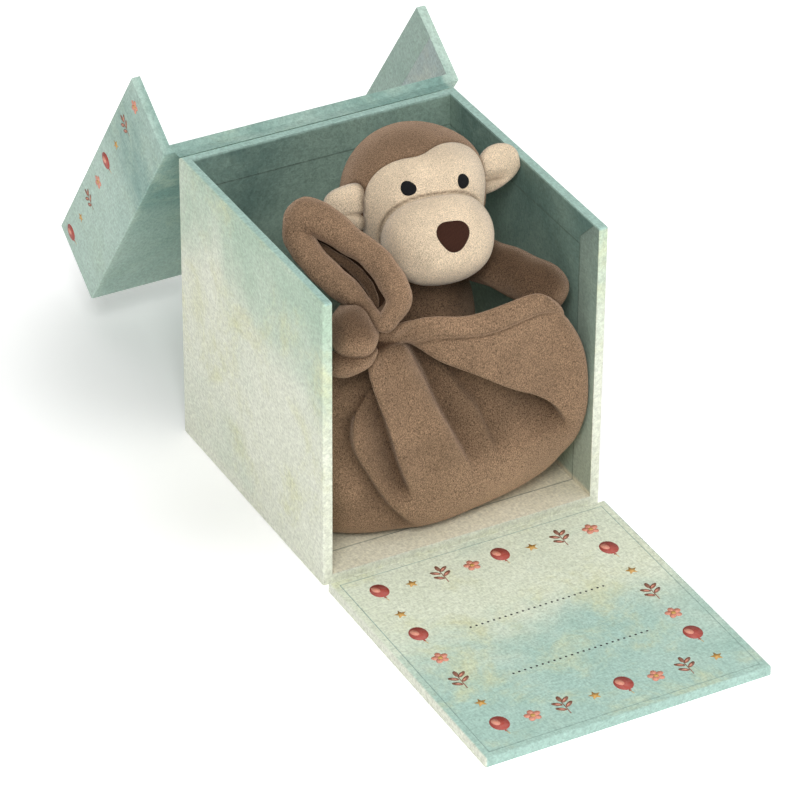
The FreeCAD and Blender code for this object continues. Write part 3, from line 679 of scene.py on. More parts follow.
def patch(form, middle, outline, front, back):
    """Makes a ball a low pad: outline(angle) is its edge, and front and back give the depth at x, z
    and the share of the way to the edge."""
    points = points_of(form)
    share = np.minimum(np.hypot(points[:, 0], points[:, 2]), 1)
    angle = np.arctan2(points[:, 2], points[:, 0])
    reach = outline(angle) * share
    x, z = middle[0] + reach * np.cos(angle), middle[1] + reach * np.sin(angle)
    y = np.where(points[:, 1] < 0, front(x, z, share), back(x, z, share))
    set_points(form, np.stack([x, y, z], 1))
    return form


def on_ball(radius, x, z):
    """The front of a ball at x, z."""
    return -np.sqrt(np.maximum(radius ** 2 - x ** 2 - z ** 2, 1.0))


def muzzle_front(x, z):
    """The front of the muzzle at x, z."""
    left = np.maximum(1 - np.abs(x / MUZZLE_HALF) ** MUZZLE_POWER, 0) ** (1 / MUZZLE_POWER)
    return MUZZLE_PLACE[1] - np.sqrt(
        np.maximum((MUZZLE_ROUND * left) ** 2 - (z - MUZZLE_PLACE[2]) ** 2, 0))


def muzzle_reach(x, y, z):
    """How far out a point is, as a share of the way from the muzzle's middle to its skin."""
    shares = np.abs(x / MUZZLE_HALF), np.hypot(y, z) / MUZZLE_ROUND
    return sum(share ** MUZZLE_POWER for share in shares) ** (1 / MUZZLE_POWER)


def muzzle_gap(x, y, z):
    """How far a point of the head's frame is outside the muzzle."""
    return MUZZLE_ROUND * (muzzle_reach(x, y - MUZZLE_PLACE[1], z - MUZZLE_PLACE[2]) - 1)


def make_head(brown, cream):
    """The stuffed head with its sewn-in face."""
    radius = settings("plush").head_radius / MM
    form = ball(6)
    points = points_of(form) * radius
    inset = face_inset(points[:, 0], points[:, 2])
    sunk = 2.4 * smooth_step(-0.4, 1.4, inset) + 0.8 * bell(inset, 1.5)
    sunk = np.where(points[:, 1] < 0, sunk, 0)
    set_points(form, points * (1 - sunk / radius)[:, None])
    # Painted shade over the whole hood, and more in the groove round the face
    mark_painted_shading(form, 0.10 + 0.6 * bell(inset - 0.2, 1.0) * (points[:, 1] < 0))
    toy_piece("head_hood", on_head(form), brown, "head")

    def outline(angle):
        low, high = np.zeros_like(angle), np.full_like(angle, 45.0)
        for _ in range(24):
            tried = (low + high) / 2
            inside = face_inset(FACE_MIDDLE[0] + tried * np.cos(angle),
                                FACE_MIDDLE[1] + tried * np.sin(angle)) > 0
            low, high = np.where(inside, tried, low), np.where(inside, high, tried)
        return low

    def front(x, z, share):
        skin = radius - 0.7 + 1.5 * np.sqrt(1 - share ** 7)
        seam = bell(muzzle_gap(x, on_ball(skin, x, z), z), 0.9)
        return on_ball(skin - 1.2 * seam, x, z)

    def back(x, z, share):
        return on_ball(radius - 0.7 - 1.2 * np.sqrt(1 - share ** 2), x, z)

    form = patch(ball(6), FACE_MIDDLE, outline, front, back)
    # Painted shade along the seam round the muzzle
    mark_painted_shading(form, 0.7 * bell(muzzle_gap(*points_of(form).T) - 0.2, 0.55))
    toy_piece("face_skin", on_head(form), cream, "face_panel")


def stitched(node, thread, middle, outline, surface, proud, sunk):
    """A low pad of embroidery in a node's place, on a surface(x, z, lift) of the head."""
    def front(x, z, share):
        return surface(x, z, proud * np.sqrt(1 - share ** 4))

    def back(x, z, share):
        return surface(x, z, -sunk * np.sqrt(1 - share ** 2))

    form = patch(ball(5), middle, outline, front, back)
    toy_piece(node + "_stitching", on_head(form), thread, node)


def make_muzzle(cream, cocoa):
    """The stuffed muzzle and its embroidered nose."""
    form = ball(6)
    points = points_of(form)
    points = points / muzzle_reach(*points.T)[:, None]
    pucker = bell(np.hypot(points[:, 0] + 15.5, points[:, 2] + 11), 4.5) * (points[:, 1] < 2)
    points = points * (1 - 0.035 * pucker)[:, None]
    points = points + MUZZLE_PLACE
    above = np.linalg.norm(points, axis=1) - settings("plush").head_radius / MM
    pinch = unit(points - MUZZLE_PLACE) * (0.9 * bell(above, 1.8))[:, None]
    set_points(form, points - pinch)
    # Painted shade where the muzzle meets the head
    mark_painted_shading(form, 0.35 * bell(above - 0.6, 0.7))
    ripple(form, 0.22, 24, 1.0)
    toy_piece("muzzle_pad", on_head(form), cream, "muzzle")

    def outline(angle):
        shield = NOSE_RADIUS * (1 + 0.09 * np.cos(3 * (angle - math.pi / 6)))
        return shield * (1 + 0.05 * np.cos(2 * angle))

    def surface(x, z, lift):
        return muzzle_front(x, z) + 0.3 - lift

    stitched("nose", cocoa, (0.0, NOSE_HEIGHT), outline, surface, 1.3, 0.8)


def make_eyes(black):
    """The embroidered eyes."""
    radius = settings("plush").head_radius / MM + 0.6

    def outline(angle):
        return EYE_RADIUS * (1 + 0.04 * np.cos(3 * angle + 0.4))

    def surface(x, z, lift):
        return on_ball(radius + lift, x, z)

    for side, name in ((-1, "left_eye"), (1, "right_eye")):
        stitched(name, black, (EYE_SIDE * side, EYE_HEIGHT), outline, surface, 1.0, 0.6)


def blocky(points, power):
    """The points of a ball moved out towards a round-edged block: a higher power is squarer."""
    return points * (np.abs(points) ** power).sum(1, keepdims=True) ** (-1 / power)


def make_ears(cream):
    """The two ears: the right one stands out, the left one is folded by the blanket."""
    form = ball(6)
    points = points_of(form)
    share = np.hypot(points[:, 0], points[:, 2])
    x, _, z = (blocky(points, 2.4) * (10.6, 1, 10.7)).T
    z = np.where(z < 0, z * (1 - 0.25 * smooth_step(-4, 10, x)), z - 0.12 * np.maximum(-x, 0))
    x = x + 0.5 * np.minimum(z, 0)
    facing = smooth_step(0.3, -0.2, points[:, 1])
    fold = z + 3.6 - 0.08 * x
    root = smooth_step(7, -2, x)
    y = 4.6 * points[:, 1] + 1.4 * np.maximum(1 - share ** 2, 0) * facing
    y = y + facing * root * (2.4 * bell(fold, 2.2) - 0.8 * smooth_step(0.5, -3.0, fold))
    set_points(form, np.stack([x + 40.4, y - 1.0, z + 6.5], 1))
    # Painted shade in the ear's fold and below it
    mark_painted_shading(form, facing * root
                 * (0.6 * bell(fold + 0.4, 0.8) + 0.25 * smooth_step(0, -3, fold)))
    points = points_of(on_head(form))
    points[:, 0] = np.minimum(points[:, 0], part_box("right_wall_liner")[0].x / MM - EAR_CLEARANCE)
    set_points(form, points)
    toy_piece("right_ear_pad", form, cream, "right_ear")

    form = ball(5)
    points = points_of(form)
    points = blocky(points, 2.8) * (12.2, 5.2, 10.6)
    pleat = bell(points[:, 2] + 2.2 + 0.25 * points[:, 0], 1.1) * (points[:, 1] < 1)
    points[:, 1] += 1.5 * pleat * smooth_step(-9, 2, points[:, 0])
    turn = np.array(Matrix.Rotation(math.radians(-16), 3, "Y")
                    @ Matrix.Rotation(math.radians(-22), 3, "Z"))
    set_points(form, points @ turn.T + np.array([-31.8, -7.4, -1.4]))
    toy_piece("left_ear_pad", on_head(form), cream, "left_ear")


def make_body(brown):
    """The stuffed body under the blanket, and the two arms."""
    form = ball(6)
    points = points_of(form)
    low, high = (corner.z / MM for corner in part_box("body"))
    share = (points[:, 2] + 1) / 2
    profile = spline(np.array([21.0, 25.5, 27.5, 28.5, 29.0, 26.0, 19.0])[:, None], share)[:, 0]
    cover = np.sqrt(np.maximum(1 - np.abs(points[:, 2]) ** 10, 0))
    around = np.arctan2(points[:, 1], points[:, 0])
    set_points(form, np.stack([
        HEAD_CENTRE[0] + profile * cover * np.cos(around),
        HEAD_CENTRE[1] + profile * cover * np.sin(around),
        low + (high - low) * share], 1))
    ripple(form, 0.7, 42, 2.0)
    toy_piece("body_stuffed", form, brown, "body")

    arms = (
        ("right_arm",
         [(24, 2, 109), (33, -14, 111), (44, -34, 110), (51, -47, 107.5), (56.5, -57, 105)],
         [10.0, 10.6, 10.8, 11.6, 10.2], 1.2, 0.2),
        ("left_arm",
         [(-2, 0, 104), (-16, -16, 106), (-32, -33, 109), (-44, -49, 113), (-47.5, -62.5, 110)],
         [9.5, 10.0, 10.4, 11.0, 10.6], 3.4, 0.05),
    )
    for name, path, radii, seed, dark in arms:
        form = swept(ball(6), path, radii, facing=(0, 0, 1), flat=0.96)
        ripple(form, -0.55, 21, seed)
        # Painted shade on the arms, a little all over and more on their upper side
        shade_side(form, dark, 0.5, 1)
        toy_piece(name + "_stuffed", form, brown, name)


# The blanket: rows from the tuck under the toy up to the hem, each from the left wall to the right

BLANKET_ROWS = [
    [(-58, -22, 6), (-44, -30, 6), (-28, -36, 6), (-10, -39, 6),
     (14, -38, 6), (36, -33, 6), (53, -27, 6), (58, -16, 6)],
    [(-62, -34, 6.4), (-47, -46, 6.4), (-30, -54, 6.4), (-10, -57, 6.4),
     (15, -54.5, 6.4), (38, -48.5, 6.4), (56, -41, 6.8), (61.5, -25, 7)],
    [(-63, -42, 17), (-49, -54, 17), (-33, -61.5, 17), (-11, -64.6, 17),
     (17, -63.4, 17), (42, -59, 17), (60, -51, 18), (63, -32, 18)],
    [(-63.6, -46, 40), (-51, -56, 40), (-36, -62, 40), (-12, -65.6, 40),
     (18, -66.2, 40), (44, -66, 40), (63, -64.5, 40), (64.2, -44, 40)],
    [(-63.6, -45, 66), (-52, -54, 66), (-38, -60, 66), (-14, -64.6, 66),
     (18, -66, 66), (45, -66.6, 66), (63.8, -67.6, 66), (64.3, -49, 64)],
    [(-63, -38, 88), (-50, -46, 90), (-38, -56.5, 92), (-16, -62.5, 95),
     (16, -65.5, 96), (42, -66.4, 96), (58, -67, 90), (62, -54, 87)],
    [(-62, -40, 98), (-48, -50, 102), (-37, -56, 112.5), (-14.5, -58.5, 115.5),
     (9, -61.5, 112), (36, -64.8, 116), (45, -65.2, 113), (50, -57, 107)],
    [(-61, -34, 97), (-47, -44, 101), (-37, -50, 109), (-14, -52.5, 112),
     (9.5, -55.5, 108.5), (35, -58.6, 112.5), (42, -59, 110), (46, -53, 104)],
]
# Folds in the front's x and z, from the gather outwards: knots, side that laps over, depth, reach
# of the hollow, reach of the lap, how far the lap hangs over the hollow, how far it stands out,
# and how dark the painted shade in its hollow and along its fold line is
BLANKET_FOLDS = [
    ([(-36, 110), (-22, 105), (-5, 93.5), (10.5, 84), (28, 73), (39, 66.5), (46.5, 59), (52.5, 49),
      (55, 41)],
     1, 16.0, 18.0, 4.0, 4.5, 1.6, 1.0),
    ([(-31, 108.5), (-23.5, 104), (-17.5, 90), (-9.5, 71), (-1.5, 54), (3.5, 42.5), (8.5, 31)],
     -1, 12.0, 13.0, 7.0, 2.0, 2.0, 0.75),
    ([(-19, 102.5), (-10.5, 95), (-2, 83.5), (6, 70.5), (12.5, 60.5), (17.5, 45), (21.5, 32.5)],
     -1, 5.0, 7.0, 5.0, 0.8, 1.0, 0.4),
    ([(-38.5, 107), (-40.5, 103), (-39, 90), (-34, 70.5), (-28, 47.5), (-24.5, 35), (-22, 25.5)],
     1, 11.0, 10.0, 3.4, 3.6, 2.2, 1.0),
    ([(-44, 78.5), (-47, 73), (-48.5, 65.5), (-47.5, 53.5), (-40, 38), (-32.5, 25.5), (-22, 13),
      (-15, 7)],
     1, 8.0, 8.0, 5.0, 1.6, 1.4, 0.75),
    ([(-42, 101), (-47, 98), (-54, 96), (-62, 95)], -1, 0.0, 11.0, 3.0, 0.0, 0.0, 0.9),
]
DEEPEST = 17.0
GATHER = (-36.5, 108.0)
FRONT_LIMIT = -69.2
BLANKET_GRID = (230, 200)
HEM_BAND = 9.6


def fold_move(places, knots, side, depth, hollow, lap, hang, proud, dark):
    """How a fold moves the cloth at each x, z, as a lap over a hollow: along the front, outwards,
    and how much painted shade lies in its hollow and along its fold line."""
    line = spline(knots, np.linspace(0, 1, 120))
    away = places[:, None] - line[None]
    far = np.hypot(away[..., 0], away[..., 1])
    near = far.argmin(1)
    far = far.min(1)
    run = unit(np.gradient(line, axis=0))[near]
    over = np.stack([-run[:, 1], run[:, 0]], 1) * side
    lapped = (over * away[np.arange(len(places)), near]).sum(1) > 0
    along = near / (len(line) - 1)
    size = 0.4 + 0.6 * smooth_step(0, 0.3, along)
    strength = size * smooth_step(1.0, 0.62, along) * smooth_step(0.02, 0.26, along)
    swell = far / (lap * size)
    swell = swell * np.exp((1 - swell ** 2) / 2)
    sink = (1 - np.exp(-far / (1.3 * size))) * np.exp(-(far / (hollow * size)) ** 1.4)
    outward = strength * np.where(lapped, proud * swell, -depth * sink)
    slip = strength * np.where(lapped, -hang * swell, 0.5 * hang * sink)
    fade = smooth_step(1.0, 0.8, along) if depth else 1.0
    # Painted shade in the hollow and along the fold line, less on the lap
    shadow = 0.7 * np.exp(-far / (2.4 * size)) + 0.5 * sink
    painted_shade = dark * fade * np.where(lapped, 0.5 * np.exp(-far / 0.4), shadow)
    return over * slip[:, None], outward, painted_shade


def make_blanket(brown):
    """The blanket's front: gathered at one corner and fanned out over the toy's lap."""
    columns, rows = BLANKET_GRID
    form = bmesh.new()
    bmesh.ops.create_grid(form, x_segments=columns, y_segments=rows, size=0.5)
    places = points_of(form)
    across, upward = places[:, 0] + 0.5, places[:, 1] + 0.5
    levels = [spline(row, across) for row in BLANKET_ROWS]
    stacked = np.stack(levels, 1)
    count = len(levels)
    along = upward * (count - 1)
    first = np.minimum(along.astype(int), count - 2)
    near = (stacked[np.arange(len(places)), np.clip(first + step, 0, count - 1)]
            for step in (-1, 0, 1, 2))
    surface = between(*near, (along - first)[:, None])
    set_points(form, surface)
    bmesh.ops.recalc_face_normals(form, faces=form.faces)
    form.normal_update()
    outward = np.array([vertex.normal for vertex in form.verts])
    if outward[:, 1].mean() > 0:
        bmesh.ops.reverse_faces(form, faces=form.faces)
        form.normal_update()
        outward = -outward
    ease = settings("plush").fold_share
    front = smooth_step(0.10, 0.22, upward) * smooth_step(0.95, 0.86, upward)
    moves = [fold_move(surface[:, [0, 2]], *fold) for fold in BLANKET_FOLDS]
    slide, rise, painted_shade = (sum(move[part] for move in moves) for part in range(3))
    rise = np.where(rise < 0, DEEPEST * np.tanh(rise / DEEPEST), rise)
    bundle = surface[:, [0, 2]] - np.array(GATHER)
    far, angle = np.hypot(*bundle.T), np.arctan2(bundle[:, 1], bundle[:, 0])
    pleats = 0.6 * np.cos(13 * angle) * smooth_step(4, 9, far) * smooth_step(30, 12, far)
    rise = ease * front * (rise + pleats)
    slide, painted_shade = slide * (ease * front)[:, None], painted_shade * ease * front
    hem_top = (count - 2) / (count - 1)
    below = levels[count - 2][:, 2] - surface[:, 2]
    hemmed = smooth_step(0.36, 0.5, across) * (upward < hem_top)
    band = np.clip(below / HEM_BAND, 0, 1)
    rise = rise + hemmed * (0.8 * np.sin(math.pi * band) - 0.9 * bell(below - HEM_BAND, 0.7))
    # Painted shade in the hem's stitched groove
    stitch = 0.65 * bell(below - HEM_BAND, 0.5) + 0.3 * bell(below - HEM_BAND + 1.8, 0.45)
    stitch = stitch * smooth_step(0.80, 0.70, across)
    # Painted shade from the folds, the hem's stitched groove and round the gather under the paw
    mark_painted_shading(form, painted_shade + hemmed * stitch + 0.8 * bell(far, 4.5))
    # Painted light on the lower blanket where the cloth turns under, less where painted shade lies
    roll = smooth_step(46, 16, surface[:, 2]) * smooth_step(-24, 8, surface[:, 0])
    mark_painted_shading(form, roll * (1 - np.clip(painted_shade, 0, 1)), PAINTED_LIGHT_NOTE)
    pushed = surface + outward * rise[:, None]
    pushed[:, [0, 2]] += slide
    pushed[:, 1] = np.maximum(pushed[:, 1], FRONT_LIMIT)
    set_points(form, pushed)
    relax(form, 2)
    ripple(form, 0.35, 34, 1.7)
    thicken(form, settings("plush").cloth / MM)
    relax(form, 1)
    bmesh.ops.recalc_face_normals(form, faces=form.faces)
    return toy_piece("blanket_front", form, brown, "blanket")


# The blanket's corner, turned over into a loop beside the head

LOOP_RIM = [
    (-46, -8, 149.5), (-38.5, -15, 147), (-33.5, -23, 143), (-27, -36, 138.5), (-24, -48.5, 130.5),
    (-25, -54, 125.5), (-29.5, -57, 122), (-34.5, -57.5, 118.5), (-37, -43, 120.5),
    (-39.5, -37.5, 124), (-44, -30, 128.5), (-48, -23, 133.5), (-50.5, -15, 138.5), (-50, -9, 143),
]
LOOP_RADII = [8.6, 7.6, 6.4, 6.1, 6.2, 5.6, 4.8, 3.8, 4.8, 5.8, 6.3, 6.5, 6.7, 7.6]
LOOP_LIP = [(-42, -11, 137.5), (-38.5, -17, 133.5), (-33.5, -24.5, 130.5), (-30.5, -32, 126.5),
            (-29.5, -38.5, 122.5), (-30, -44, 118)]
LOOP_HEAD = (-45.5, -6.0, 141.0)
LOOP_FACING = (-0.40, -0.74, 0.55)


def make_loop(brown):
    """The turned-over corner: a thick rim round a long slit, with a lip and a lining inside it,
    both darkened with painted shade.
    """
    rim = swept(ring(220, 40), LOOP_RIM, LOOP_RADII, facing=LOOP_FACING, flat=0.95, closed=True)
    ripple(rim, 0.45, 15, 2.6)
    # Painted shade on the rim's underside
    shade_side(rim, 0.0, 0.55, -1)
    lip = swept(ball(5), LOOP_LIP, [1.4, 1.9, 2.2, 2.3, 2.0, 1.5],
                facing=LOOP_FACING, flat=0.9, cap=8)
    ripple(lip, -0.3, 11, 1.4)
    # The lip is darkened with painted shade, as the slit's shade
    mark_painted_shading(lip, np.full(len(lip.verts), 0.66))
    lining = swept(ball(5), [LOOP_HEAD, *LOOP_LIP], [7.0, 8.0, 9.0, 9.0, 8.5, 8.0, 6.0],
                   facing=LOOP_FACING, flat=0.25, cap=4)
    bmesh.ops.translate(lining, verts=lining.verts, vec=Vector(LOOP_FACING) * -2.5)
    # The lining is painted fully dark: a sheet that stands for the shade inside the slit
    mark_painted_shading(lining, np.full(len(lining.verts), 1.0))
    return [toy_piece("blanket_loop_" + name, form, brown, "blanket_corner")
            for name, form in (("rim", rim), ("lip", lip), ("lining", lining))]


def contact_shade(pieces, joined, reach=1.3, dark=0.72):
    """Paints shade into the pile where a piece meets another, apart from pairs of the joined ones.
    """
    trees = [BVHTree.FromPolygons([vertex.co for vertex in piece.data.vertices],
                                  [face.vertices for face in piece.data.polygons])
             for piece in pieces]
    reach = reach * MM
    clouds = [np.array([vertex.co for vertex in piece.data.vertices]) for piece in pieces]
    for piece, cloud in zip(pieces, clouds):
        notes = (piece.data.attributes.get(PAINTED_SHADE_NOTE)
                 or piece.data.attributes.new(PAINTED_SHADE_NOTE, "FLOAT", "POINT"))
        for other, tree, near in zip(pieces, trees, clouds):
            if other is piece or {piece.name, other.name} <= joined:
                continue
            inside = ((cloud > near.min(0) - 2 * reach) & (cloud < near.max(0) + 2 * reach)).all(1)
            for number in np.flatnonzero(inside):
                far = tree.find_nearest(cloud[number], 2 * reach)[3]
                if far is not None:
                    note = notes.data[number]
                    note.value = max(note.value, dark * math.exp(-(far / reach) ** 2))


def make_under_fold(brown):
    """The fold of the blanket under the left paw."""
    path = [(-37.4, -58, 107.5), (-44.7, -58, 104.5), (-52, -56, 103), (-60, -50, 102)]
    form = swept(ball(6), path, [3.0, 5.6, 6.4, 6.0], facing=(0, -1, 0), flat=0.8)
    ripple(form, -0.4, 13, 0.8)
    # Painted shade on the under fold, a little all over and more on its upper side
    shade_side(form, 0.05, 0.7, 1)
    return toy_piece("blanket_under_lobe", form, brown, "blanket_under_fold")


# The printed border

def disc(form, centre, radii, turn=0.0, ink=0, level=0.0, sides=20):
    """Adds an oval of ink."""
    place = (Matrix.Translation((centre[0], centre[1], level)) @ Matrix.Rotation(turn, 4, "Z")
             @ Matrix.Diagonal((radii[0], radii[1], 1, 1)))
    made = bmesh.ops.create_circle(form, cap_ends=True, segments=sides, radius=1.0, matrix=place)
    for face in {face for vertex in made["verts"] for face in vertex.link_faces}:
        face.material_index = ink


def blade(form, corners, ink=0, level=0.0):
    """Adds a flat shape of ink with straight edges."""
    face = form.faces.new([form.verts.new((x, y, level)) for x, y in corners])
    face.material_index = ink


BRICK, ROSE, BARK, OCHRE = range(4)


def balloon(form):
    """A balloon with a light spot, a knot and a string."""
    disc(form, (0, 0.14), (0.34, 0.40), 0, BRICK)
    disc(form, (-0.10, 0.24), (0.13, 0.19), 0.4, ROSE, 0.004, 14)
    blade(form, [(-0.07, -0.33), (0.07, -0.33), (0.0, -0.24)], BRICK, 0.002)
    blade(form, [(-0.012, -0.33), (0.03, -0.52), (0.055, -0.51), (0.015, -0.33)], OCHRE, 0.001)


def sprig(form):
    """A stem with five leaves."""
    blade(form, [(-0.02, -0.5), (0.02, -0.5), (0.03, 0.3), (0.0, 0.3)], BARK)
    for side, height in ((-1, -0.22), (1, -0.08), (-1, 0.08), (1, 0.2)):
        disc(form, (0.19 * side, height + 0.07), (0.20, 0.085), 0.6 * side, BARK, 0.003, 16)
        disc(form, (0.16 * side, height + 0.07), (0.10, 0.035), 0.6 * side, ROSE, 0.005, 10)
    disc(form, (0.015, 0.38), (0.085, 0.17), 0, BARK, 0.003, 16)


def flower(form):
    """Five round petals and a yellow middle."""
    for number in range(5):
        turn = math.radians(90 + 72 * number)
        spot = (0.17 * math.cos(turn), 0.17 * math.sin(turn))
        disc(form, spot, (0.15, 0.12), turn, ROSE, 0.001 * number, 14)
    disc(form, (0, 0), (0.09, 0.09), 0, OCHRE, 0.007, 12)


def star(form):
    """A small five-pointed star."""
    corners = []
    for number in range(10):
        turn = math.radians(90 + 36 * number)
        reach = 0.24 if number % 2 == 0 else 0.11
        corners.append((reach * math.cos(turn), reach * math.sin(turn)))
    blade(form, corners, OCHRE)


MOTIFS = {"balloon": balloon, "sprig": sprig, "flower": flower, "star": star}


def stamped(form, motif, place, size):
    """Stamps a motif on the panel at a place, in millimetres."""
    stamp = bmesh.new()
    MOTIFS[motif](stamp)
    mesh = bpy.data.meshes.new("stamp")
    stamp.to_mesh(mesh)
    stamp.free()
    mesh.transform(Matrix.Translation(place) @ Matrix.Diagonal((size, size, 10, 1)))
    form.from_mesh(mesh)
    bpy.data.meshes.remove(mesh)


def ink_film(name, form, to_part, inks, body):
    """Gives the ink its thickness and lays it on a panel."""
    film = settings("print").film / MM
    bmesh.ops.recalc_face_normals(form, faces=form.faces)
    for face in form.faces:
        if face.normal.z < 0:
            face.normal_flip()
    made = bmesh.ops.extrude_face_region(form, geom=form.faces[:])
    lifted = [item for item in made["geom"] if isinstance(item, bmesh.types.BMVert)]
    bmesh.ops.translate(form, verts=lifted, vec=(0, 0, film))
    bmesh.ops.recalc_face_normals(form, faces=form.faces)
    bmesh.ops.transform(form, matrix=to_part, verts=form.verts)
    return finish_piece(name, form, inks, body)


RULE_HEIGHTS, RULE_ENDS = (0.40, 0.68), (0.27, 0.77)
RULE_DOTS, DOT_RADIUS = 24, 0.55
LID_TILT = math.radians(55)
LID_MOTIFS = 8
LID_SHARE = 0.85
SKIRT_MARGIN = 10.0


def skirt_panels():
    """The border's place on each skirt of the lid: a name, a matrix and the border's length."""
    fold = next(joint for joint in frame["record"]["behaviour"]["joints"]
                if joint["name"] == "lid_fold")
    corner = Vector(fold["pos_m"]) / MM
    along = Vector((0, math.cos(LID_TILT), -math.sin(LID_TILT)))
    inward = Vector((0, math.sin(LID_TILT), math.cos(LID_TILT)))
    across = Vector((1, 0, 0))
    wrap = [vertex.co / MM - corner for vertex in frame["nodes"]["lid_wrap"].data.vertices]
    length = max(point.dot(along) for point in wrap)
    half = max(point.x for point in wrap)
    band = inward * (max(point.dot(inward) for point in wrap) - SKIRT_MARGIN)
    panels = (
        ("lid_left_skirt", corner + band + along * length - across * half, -along, -across, length),
        ("lid_right_skirt", corner + band + across * half, along, across, length),
        ("lid_front_skirt", corner + band + along * length + across * half, -across, along,
         2 * half),
    )
    for name, start, run, out, reach in panels:
        place = Matrix((run, inward, out)).transposed().to_4x4()
        yield name, Matrix.Translation(start) @ place, reach


# The studio floor's glow: painted light that whitens it away from the box, dimmed near the box as
# painted shadow. Each: a middle, the distances it changes between, and how much it gains
FLOOR_SHADES = (((0, 0, 0), 0.15, 0.32, 0.12), ((-0.14, 0, 0), 0.0, 0.13, 0.04),
                ((-0.05, 0.13, 0), 0.03, 0.115, 0.22), ((-0.085, 0.0, 0), 0.085, 0.0, -0.2))
# Lamps: a name, a place, the side of the square and the power
LAMPS = (("Key", (-0.70, -1.05, 1.30), 0.6, 15.5), ("Fill", (1.0, -0.9, 1.2), 1.4, 7.0),
         ("Top", (0.0, 0.1, 1.7), 1.4, 5.5), ("Low", (0.15, -1.3, 0.35), 0.8, 3.0))
LAMP_TARGET = Vector((0, 0, 0.08))
FLOOR_DROP = 0.0002


class KEEPSAKE_OT_stage(bpy.types.Operator):
    """Sets the camera, the studio floor and the lights"""

    bl_idname = "keepsake.stage"
    bl_label = "Set the stage"

    def execute(self, context):
        stage = settings("stage")
        turn, rise, roll = stage.azimuth, stage.elevation, stage.roll
        back = Vector((math.sin(turn) * math.cos(rise), -math.cos(turn) * math.cos(rise),
                       math.sin(rise)))
        right = Vector((0, 0, 1)).cross(back).normalized()
        up = back.cross(right)
        right, up = (right * math.cos(roll) + up * math.sin(roll),
                     up * math.cos(roll) - right * math.sin(roll))
        camera = bpy.data.objects.new("Camera", bpy.data.cameras.new("Camera"))
        context.scene.collection.objects.link(camera)
        spot = Vector(stage.target) + back * stage.distance
        camera.matrix_world = (Matrix.Translation(spot)
                               @ Matrix((right, up, back)).transposed().to_4x4())
        camera.data.lens = stage.lens
        camera.data.sensor_width = 36
        camera.data.clip_end = 50
        context.scene.camera = camera

        form = bmesh.new()
        bmesh.ops.create_grid(form, x_segments=1, y_segments=1, size=6)
        floor = new_object("studio_floor", form)
        floor.location.z = -FLOOR_DROP
        material, tree, shader = blank_material(
            "Studio floor", Roughness=0.8, Specular_IOR_Level=0.1, Emission_Strength=1)
        where = own_coordinates(tree)
        speckle = noise(tree, where, 30, 3)
        join(tree, mix(tree, speckle, dimmed(stage.floor, 0.985), stage.floor),
             shader["Base Color"])
        # The floor glows as painted light, dimmed near the box as painted shadow
        painted_floor_light = 0.0
        for spot, near, far, amount in FLOOR_SHADES:
            painted_floor_light = ramp(tree, reckoned(tree, "DISTANCE", where, spot), near, far) * amount + painted_floor_light
        join(tree, mix(tree, painted_floor_light, (0, 0, 0, 1), (1, 1, 1, 1)), shader["Emission Color"])
        floor.data.materials.append(material)

        world = bpy.data.worlds.new("Studio")
        world.use_nodes = True
        sky = world.node_tree.nodes["Background"].inputs
        sky["Color"].default_value = (1, 1, 1, 1)
        sky["Strength"].default_value = 0.36
        context.scene.world = world
        for name, place, side, power in LAMPS:
            data = bpy.data.lights.new(name, "AREA")
            data.shape, data.size, data.energy = "SQUARE", side, power
            lamp = bpy.data.objects.new(name, data)
            lamp.location = place
            lamp.rotation_euler = (LAMP_TARGET - Vector(place)).to_track_quat("-Z", "Y").to_euler()
            context.scene.collection.objects.link(lamp)
        context.scene.view_settings.view_transform = "Standard"
        context.scene.view_settings.look = "None"
        return {"FINISHED"}


# Where washes deepen or thin: an amount, and the (axis, low, high) runs that it rises along
BOX_FADES = [
    (0.37, [(2, 0.06, 0.15)]), (0.22, [(1, -0.02, -0.076), (2, 0.03, 0.12)]),
    (0.20, [(0, 0.068, 0.072), (1, -0.07, -0.0745)]), (-0.15, [(2, 0.01, 0.0)]),
    (-0.30, [(0, -0.04, 0.03), (1, 0.05, 0.068)]), (-0.15, [(0, 0.05, 0.069), (1, 0.02, -0.06)])]
LID_FADES = [
    (-0.12, [(0, -0.071, -0.0745)]), (-0.15, [(0, 0.071, 0.0745)]), (-0.28, [(0, 0.066, 0.0695)]),
    (-0.22, [(1, 0.11, 0.19)])]
FLAP_FADES = [(0.45, [(1, -0.10, -0.17)]), (0.14, [(0, 0.06, -0.06), (1, -0.12, -0.2)])]
PATTERN_TURN = math.radians(-125)


def edge_run(node, axis, end, width):
    """The (axis, low, high) run over the last width of a node at one end, 0 or 1, of an axis."""
    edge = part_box(node)[end][axis]
    return axis, edge + (width if end == 0 else -width), edge


